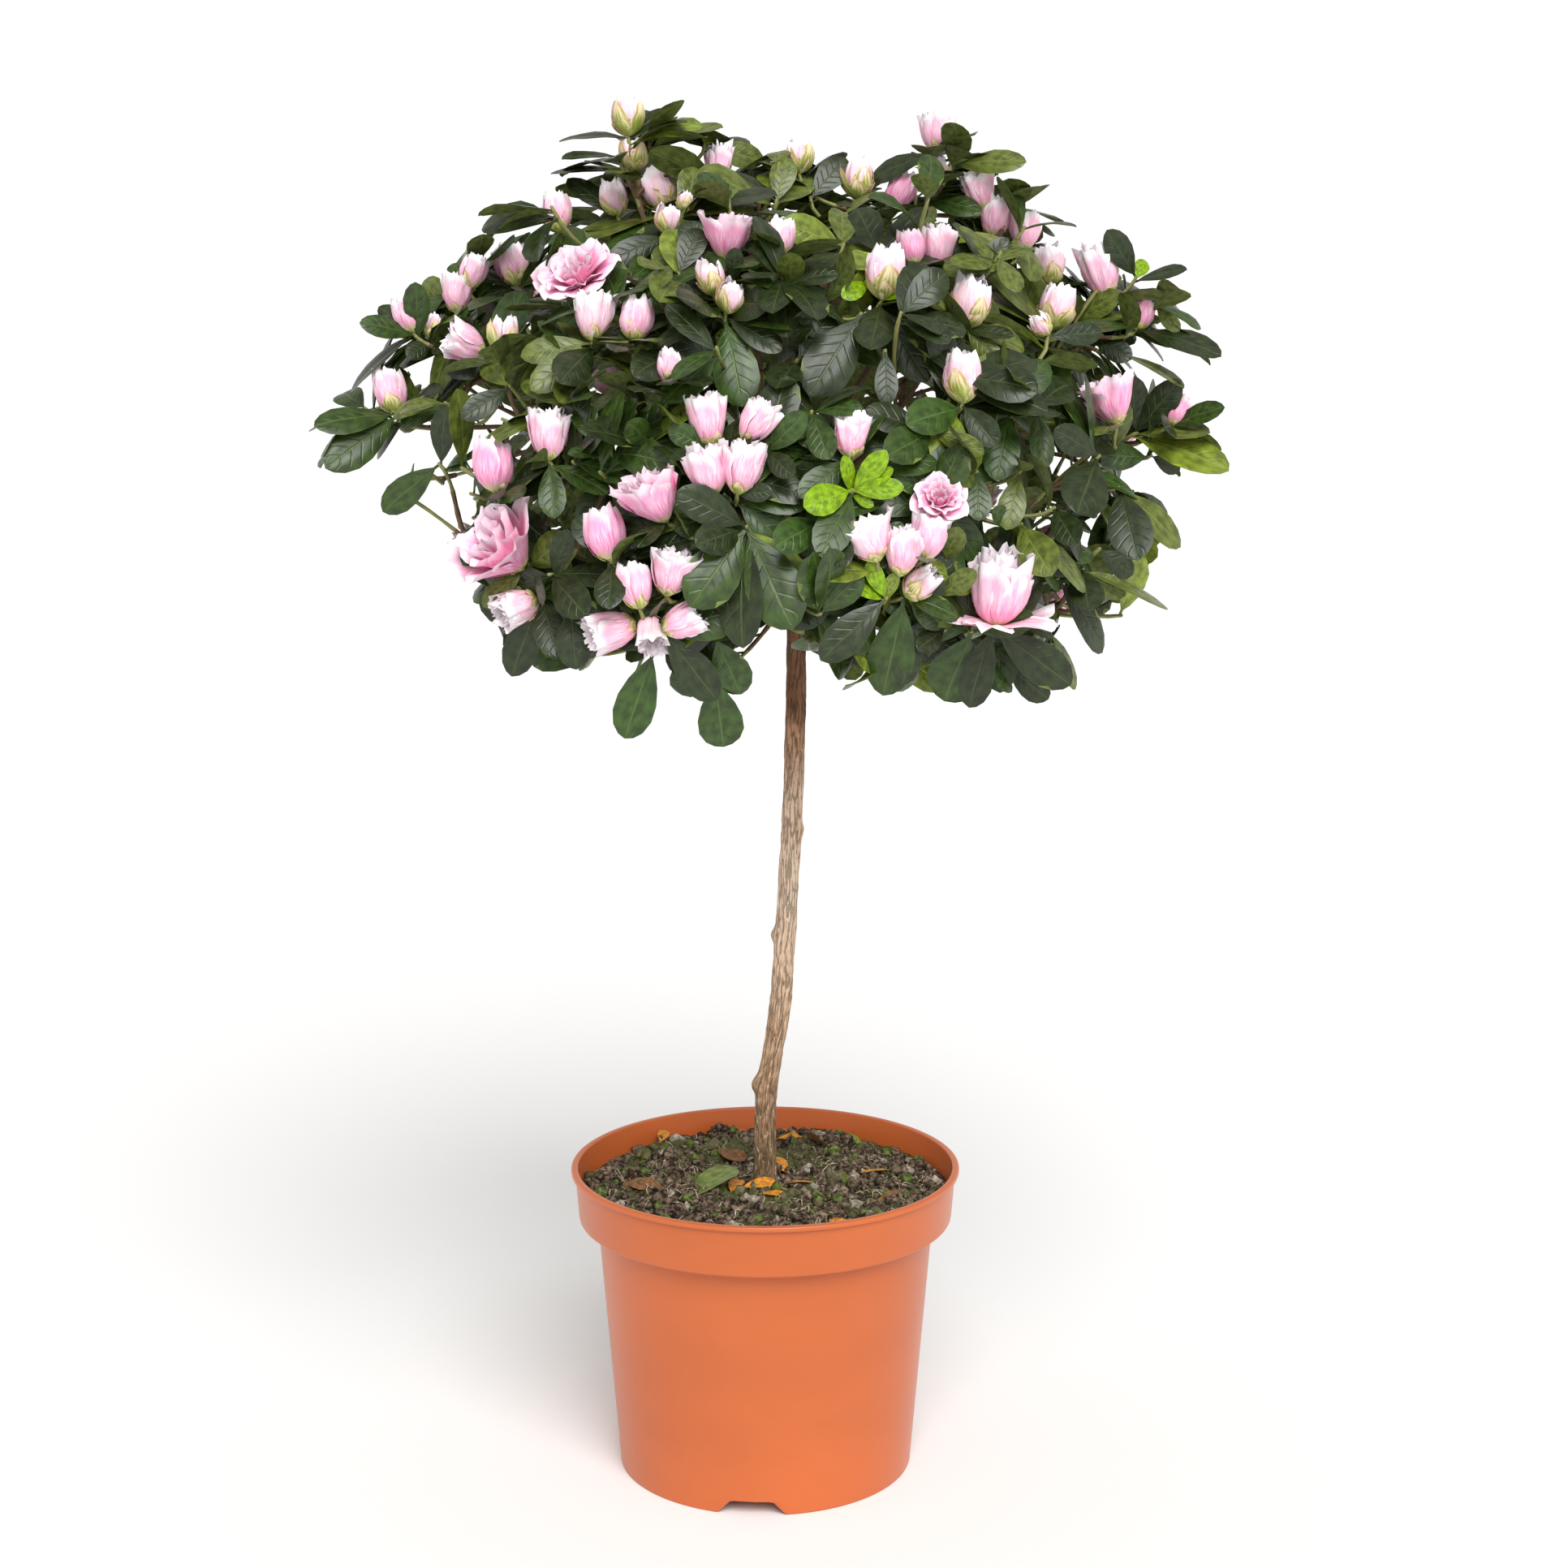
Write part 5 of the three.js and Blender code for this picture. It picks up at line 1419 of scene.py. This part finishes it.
def pot_grid(sides=216):
    """The pot's shell, turned from its profile, with the drain notches taken out of its skirt.

    The profile's corners are radius, height and rounding, from under the floor round the outside to its top.
    """
    floor_top, inside = POT["floor_rise"] + POT["floor"], POT["base"] - POT["skirt_wall"]
    lip_foot, top, band, wall = POT["height"] - POT["lip_height"], POT["height"], POT["band_height"], POT["wall"]
    profile = rounded(
        [
            (0, POT["floor_rise"], 0),
            (inside, POT["floor_rise"], 0.5),
            (inside, 0, 0.6),
            (POT["base"], 0, 0.9),
            (body_radius(POT["floor_rise"] + 0.4), POT["floor_rise"] + 0.4, 0.1),
            (body_radius(POT["middle"]), POT["middle"], 0.1),
            (body_radius(band), band, 0.8),
            (band_radius(band), band, 1.6),
            (band_radius(lip_foot), lip_foot, 0.5),
            (POT["lip_radius"], lip_foot, 0.8),
            (POT["lip_radius"], top, 1.1),
            (band_radius(top) - wall, top, 0.7),
            (band_radius(band) - wall, band + wall, 0.6),
            (body_radius(band) - wall, band, 0.6),
            (body_radius(floor_top) - wall, floor_top, 1.0),
            (0, floor_top, 0),
        ]
    )
    angles = np.linspace(0, 2 * math.pi, sides + 1)
    radius, height = profile[:, :1], profile[:, 1:]
    nearest = np.inf
    for i in range(NOTCH["count"]):
        middle = math.radians(NOTCH["first"] + 360 / NOTCH["count"] * i)
        aside = np.abs(np.angle(np.exp(1j * (angles - middle)))) * POT["base"]
        nearest = np.minimum(nearest, aside)
    lift = np.interp(nearest, [NOTCH["head"] / 2, NOTCH["foot"] / 2], [NOTCH["height"] - 0.05, 0])
    skirt = np.clip(1 - height / NOTCH["height"], 0, 1)
    z = height + skirt * lift[None, :]
    grid = np.stack([radius * np.cos(angles), radius * np.sin(angles), z], -1)
    return grid[None]


def soil_height(x, y):
    """The top of the soil: a shallow seat round the trunk, a lumpy ring and a lower rim."""
    radius = np.hypot(x, y)
    base = SOIL["seat"] + SOIL["crest"] * np.exp(-(((radius - SOIL["crest_radius"]) / SOIL["crest_width"]) ** 2))

    def layer(seed, size, offset, period):
        return smooth_noise(seed, x / size + offset, y / size + offset, period)

    lumps = layer(41, 17, 40, 97) + 0.5 * layer(42, 7, 40, 97)
    grit = layer(43, 2.6, 60, 197) - 0.5
    ease = np.clip((90 - radius) / 10, 0.2, 1) * np.clip(radius / 12, 0.15, 1)
    return base + (lumps - 0.75) * 10 * ease + grit * 1.6


# Crumbs on the soil: how far out they lie, how far from the trunk, their radii, how rare the larger ones are,
# the profile that is turned into each, the shares that take the first four slots of the soil, how far their
# middles stand above it, and how they are squashed.
CRUMBS = {
    "count": 2600, "spread": 88, "clear": 8, "least": 0.5, "range": 3.0, "rarity": 3.6, "sides": 6,
    "profile": ((0, 1), (1, 0.45), (1, -0.45), (0, -1)), "slots": (0.4, 0.34, 0.07, 0.19), "stand": 0.3,
    "squash": (0.6, 0.8),
}  # fmt: skip
# Threads on the soil: the same places, their lengths, how they bend, their radii, and the share that is pale.
FIBRES = {
    "count": 900, "spread": 87, "edge": 89, "clear": 9, "least": 4, "range": 10, "points": 6, "swing": 0.4,
    "radii": (0.14, 0.16), "pale": 0.6,
}  # fmt: skip


def add_plug(soil, sides=192, circles=84):
    """The soil's lumpy top, and its side and foot inside the pot."""
    angles = np.linspace(0, 2 * math.pi, sides + 1)
    radii = np.linspace(0, SOIL["edge"], circles)[:, None]
    x, y = radii * np.cos(angles), radii * np.sin(angles)
    top = np.stack([x, y, soil_height(x, y)], -1)
    soil.add(top[None], [0])
    foot, shoulder = (body_radius(height) - POT["wall"] - SOIL["gap"] for height in (SOIL["foot"], POT["band_height"]))
    flat = np.stack([np.cos(angles), np.sin(angles)], -1)
    rings = [top[-1]]
    below = SOIL["edge_foot"], (shoulder, SOIL["shoulder"]), (foot, SOIL["foot"]), (0.01, SOIL["foot"])
    for radius, height in below:
        rings.append(np.concatenate([flat * radius, np.full((len(angles), 1), height)], 1))
    soil.add(np.array(rings)[None], [0])


def add_crumbs(soil, rng):
    radius, height = np.array(CRUMBS["profile"], float).T[..., None]
    turns = np.linspace(0, 2 * math.pi, CRUMBS["sides"] + 1)
    ball = np.stack([radius * np.cos(turns), radius * np.sin(turns), height + 0 * turns], -1)
    count = CRUMBS["count"]
    distance, turn = CRUMBS["spread"] * np.sqrt(rng.random(count)), rng.random(count) * 2 * math.pi
    size = CRUMBS["least"] + CRUMBS["range"] * rng.random(count) ** CRUMBS["rarity"]
    x, y = distance * np.cos(turn), distance * np.sin(turn)
    keep = distance > CRUMBS["clear"]
    middle = np.stack([x, y, soil_height(x, y) + size * CRUMBS["stand"]], -1)[keep]
    least, more = CRUMBS["squash"]
    squash = least + more * rng.random((count, len(ball), 1, 3))[keep]
    lumps = middle[:, None, None] + ball[None] * size[keep][:, None, None, None] * squash
    soil.add(lumps, rng.choice(len(CRUMBS["slots"]), len(lumps), p=CRUMBS["slots"]))


def add_fibres(soil, rng):
    """Threads of moss and root that lie on the soil in bends."""
    thin, more = FIBRES["radii"]
    for _ in range(FIBRES["count"]):
        distance, turn = FIBRES["spread"] * math.sqrt(rng.random()), rng.random() * 2 * math.pi
        azimuth = rng.random() * 2 * math.pi
        length = FIBRES["least"] + FIBRES["range"] * rng.random() ** 2
        swing = np.cumsum(rng.normal(0, FIBRES["swing"], FIBRES["points"])) + azimuth
        steps = np.stack([np.cos(swing), np.sin(swing)], 1).cumsum(0) * length / FIBRES["points"]
        flat = steps + distance * np.array([math.cos(turn), math.sin(turn)])
        flat = flat[np.hypot(*flat.T) < FIBRES["edge"]]
        if len(flat) < 3 or distance < FIBRES["clear"]:
            continue
        lift = 0.5 + 1.4 * rng.random() * np.sin(np.linspace(0, math.pi, len(flat)))
        line = np.concatenate([flat, (soil_height(*flat.T) + lift)[:, None]], 1)
        radii = np.full(len(line), thin + more * rng.random())
        slot = "fibre" if rng.random() < FIBRES["pale"] else "moss"
        soil.add(tube(line, radii, 3), [SOIL_SLOTS.index(slot)])


# Fallen leaves on the soil: x, y, azimuth and elevation of the heading, length and slot.
FALLEN = [
    (-35, -27, 60, 12, 39, "under"), (17, 4, 33, 8, 26, "young"), (-12, -14, 20, 6, 19, "amber"),
    (-4, -22, 350, 4, 16, "amber"), (-17, -8, 75, 10, 17, "amber"), (8, -16, 10, 5, 15, "amber"),
    (-54, 56, 80, 14, 14, "amber"), (50, 58, 130, 20, 16, "young"), (12, 14, 120, 10, 20, "amber"),
    (-48, -22, 150, 3, 22, "rust"), (52, -30, 35, 3, 22, "rust"), (-20, -58, 200, 2, 20, "rust"),
    (34, 34, 120, 4, 24, "rust"), (-26, 46, 310, 3, 24, "rust"), (62, 20, 200, 3, 18, "amber"),
    (-68, -8, 80, 4, 18, "rust"), (4, 70, 10, 3, 24, "amber"), (30, -62, 300, 3, 16, "amber"),
]  # fmt: skip
FALLEN_LIFT, FALLEN_SLENDER = 1.4, 0.44


def fallen_leaves(rng):
    leaves = Leaves()
    for x, y, azimuth, elevation, length, slot in FALLEN:
        height = float(soil_height(np.array(x), np.array(y))) + FALLEN_LIFT
        heading = toward(azimuth, elevation)
        face = unit(UP + 0.25 * rng.normal(size=3))
        face = unit(face - heading * (face @ heading))
        bend = [0.05, 0.25, 0.3, 0.2, 0.05, rng.random() * 6, 0.3]
        leaves.add([x, y, height], heading, face, length, length * FALLEN_SLENDER, bend, slot, under="rust")
    return leaves.gather([0] * len(leaves.rows))[0]


# ---- Building ----

FOLIAGE = [f"foliage_{mass.name}" for mass in masses]
BOUGHS = [f"bough_{mass.name}" for mass in masses]
GROUPS = ["top", "front", "back", "low"]
FORK_SWELL = {"height": 1.6, "fall": 22}
BOUGH_SIDES, TWIG_SIDES = 14, 6
TWIG_OLD = 8  # of a twig's points, how many the brown part has
TWIG_END = 0.02  # how far a twig goes on past its last leaf, as a share of its line
TWIG_LEAST = 0.05  # and the least share that is made at all
SOIL_SEED = 77


def group(mass):
    """Which of the groups a mass belongs to: leaves and blooms become one piece for each group."""
    if mass.name.startswith("top_"):
        return 0
    if "back" in mass.name:
        return 2
    return 3 if mass.name.startswith("low_") else 1


def nodes_of(index):
    return [f"foliage_{mass.name}" for mass in masses if group(mass) == index]


def build_limbs():
    trunk = Gathered()
    trunk.add(trunk_grid(), [0])
    trunk.build("trunk_bark", [trunk_paint()], ["trunk"], "bark", tiles=1)
    boughs = Gathered()
    for mass in masses:
        line = np.vstack([mass.bough, mass.stem[1:]])
        share = np.linspace(0, 1, len(line))
        swell = FORK_SWELL["height"] * np.exp(-share * FORK_SWELL["fall"])
        radii = np.interp(share, [0, 0.6, 1], [BOUGH["root"], BOUGH["tip"], STEM["tip"]]) + swell
        boughs.add(tube(line, radii, BOUGH_SIDES), [TWIG_SLOTS.index("brown")])
    boughs.build("bough_bark", TWIG_PAINTS, BOUGHS + FOLIAGE, "bark", tiles=2)


def build_twigs(shoots):
    twigs = Gathered()
    for shoot in reversed(shoots):  # the side ones come first, so that each tells its parent what it carries
        end = 1.0 if shoot.bloom != "none" else min(1.0, shoot.carries + TWIG_END)
        if end < TWIG_LEAST:
            continue
        if shoot.parent:
            shoot.parent.carry(shoot.parent_share)
        line = np.array([at_share(shoot.line, share)[0] for share in np.linspace(0, end, TWIG["points"])])
        radii = np.linspace(TWIG["root"], TWIG["tip"], len(line))
        radii = radii * (1 + 0.12 * np.sin(np.arange(len(line)) * 2.1))
        for part, slot in ((slice(TWIG_OLD), "brown"), (slice(TWIG_OLD - 1, None), "green")):
            twigs.add(tube(line[part], radii[part], TWIG_SIDES), [TWIG_SLOTS.index(slot)])
    twigs.build("twigs", TWIG_PAINTS, FOLIAGE, "bark", tiles=2)


def build_leaves(shoots, blooms, carriers):
    """The seen leaves, then each shoot's own, which keep off them, the blooms and the sky."""
    leaves = Leaves()
    covered = add_seen_leaves(leaves, carriers)
    groups = [group(shoot.mass) for shoot in carriers]
    sky = [(across, down, SKY_DEPTH, radius + SKY_MARGIN) for across, down, radius in SKY]
    kept = np.vstack([blooms, covered, sky])
    for shoot in shoots:
        before = len(leaves.rows)
        dress(leaves, shoot, kept)
        groups += [group(shoot.mass)] * (len(leaves.rows) - before)
    for index, piece in enumerate(leaves.gather(groups)):
        piece.build(f"leaves_{GROUPS[index]}", LEAF_PAINTS, nodes_of(index), "foliage")


def build_blooms(shoots):
    for index, name in enumerate(GROUPS):
        petals, scales = Petals(PETAL_GRID), Petals(SCALE_GRID, SCALE_POINT)
        for shoot in shoots:
            if shoot.bloom != "none" and group(shoot.mass) == index:
                add_bloom(petals, scales, shoot)
        piece = Gathered()
        petals.gather(piece)
        scales.gather(piece)
        piece.build(f"blooms_{name}", PETAL_PAINTS, nodes_of(index), "foliage")


def build_pot_and_soil():
    pot = Gathered()
    pot.add(pot_grid(), [0])
    pot.build("pot_shell", [pot_paint()], ["pot"], "pot", tiles=1)
    rng = np.random.default_rng(SOIL_SEED)
    soil = Gathered()
    add_plug(soil)
    add_crumbs(soil, rng)
    add_fibres(soil, rng)
    soil.build("soil_top", SOIL_PAINTS, ["soil"], "soil", tiles=3)
    fallen_leaves(rng).build("fallen_leaves", LEAF_PAINTS, ["soil"], "foliage")


source, seen = source_shoots(), seen_shoots()
fresh, carriers = leaf_carriers(seen)
fill = fill_shoots(source + seen + fresh)
for shoot in source + fill:
    shoot.settle()
    if is_in_view(shoot.direction):
        shoot.bloom = "none"  # the picture's own blooms are there
grow(source, seen + fresh + fill)
shoots = source + seen + fresh + fill
build_pot_and_soil()
build_limbs()
build_leaves(shoots, seen_blooms(shoots), carriers)
build_twigs(shoots)
build_blooms(shoots)

# ---- Floor, light and camera ----

FLOOR_HALF = 40.0  # metres
FLOOR_COLOUR = (0.9, 0.9, 0.9, 1)
KEY = {"strength": 2.93, "softness": 38, "tilt": 46, "turn": 12}
SKY_LIGHT = {"low": (0.2, (1.04, 1.04, 1.04, 1)), "high": (0.4, (0.5, 0.49, 0.47, 1))}
SIGHT = (0.05, 50)  # metres


def studio():
    """A pale floor under a soft key light, and a world that is white at the horizon and dimmer above."""
    scene = bpy.context.scene
    scene.view_settings.view_transform = "Standard"
    world = bpy.data.worlds.new("studio")
    scene.world = world
    world.use_nodes = True
    nodes, links = world.node_tree.nodes, world.node_tree.links
    height = nodes.new("ShaderNodeSeparateXYZ")
    ramp = nodes.new("ShaderNodeValToRGB")
    links.new(nodes.new("ShaderNodeTexCoord").outputs["Generated"], height.inputs[0])
    links.new(height.outputs[2], ramp.inputs[0])
    links.new(ramp.outputs[0], nodes["Background"].inputs["Color"])
    for element, (position, colour) in zip(ramp.color_ramp.elements, SKY_LIGHT.values()):
        element.position, element.color = position, colour
    mesh = bpy.data.meshes.new("floor")
    corners = [(x * FLOOR_HALF, y * FLOOR_HALF, 0) for x, y in ((-1, -1), (1, -1), (1, 1), (-1, 1))]
    mesh.from_pydata(corners, [], [(0, 1, 2, 3)])
    floor = bpy.data.objects.new("floor", mesh)
    scene.collection.objects.link(floor)
    pale = Paint("floor_pale", FLOOR_COLOUR, 0.9, 0.1)
    mesh.materials.append(pale.material)
    sun = bpy.data.lights.new("key", "SUN")
    sun.energy, sun.angle = KEY["strength"], math.radians(KEY["softness"])
    lamp = bpy.data.objects.new("key", sun)
    lamp.rotation_euler = (math.radians(KEY["tilt"]), 0, math.radians(KEY["turn"]))
    scene.collection.objects.link(lamp)


def photographer():
    """The camera where the photograph was taken."""
    data = bpy.data.cameras.new("camera")
    data.sensor_fit = "HORIZONTAL"
    data.sensor_width = SENSOR
    data.lens = CAMERA["focal"] / PICTURE * SENSOR
    data.clip_start, data.clip_end = SIGHT
    camera = bpy.data.objects.new("camera", data)
    camera.location = CAMERA["place"] * MM
    camera.rotation_euler = (math.pi / 2 - CAMERA["down"], 0, 0)
    bpy.context.scene.collection.objects.link(camera)
    bpy.context.scene.camera = camera


studio()
photographer()
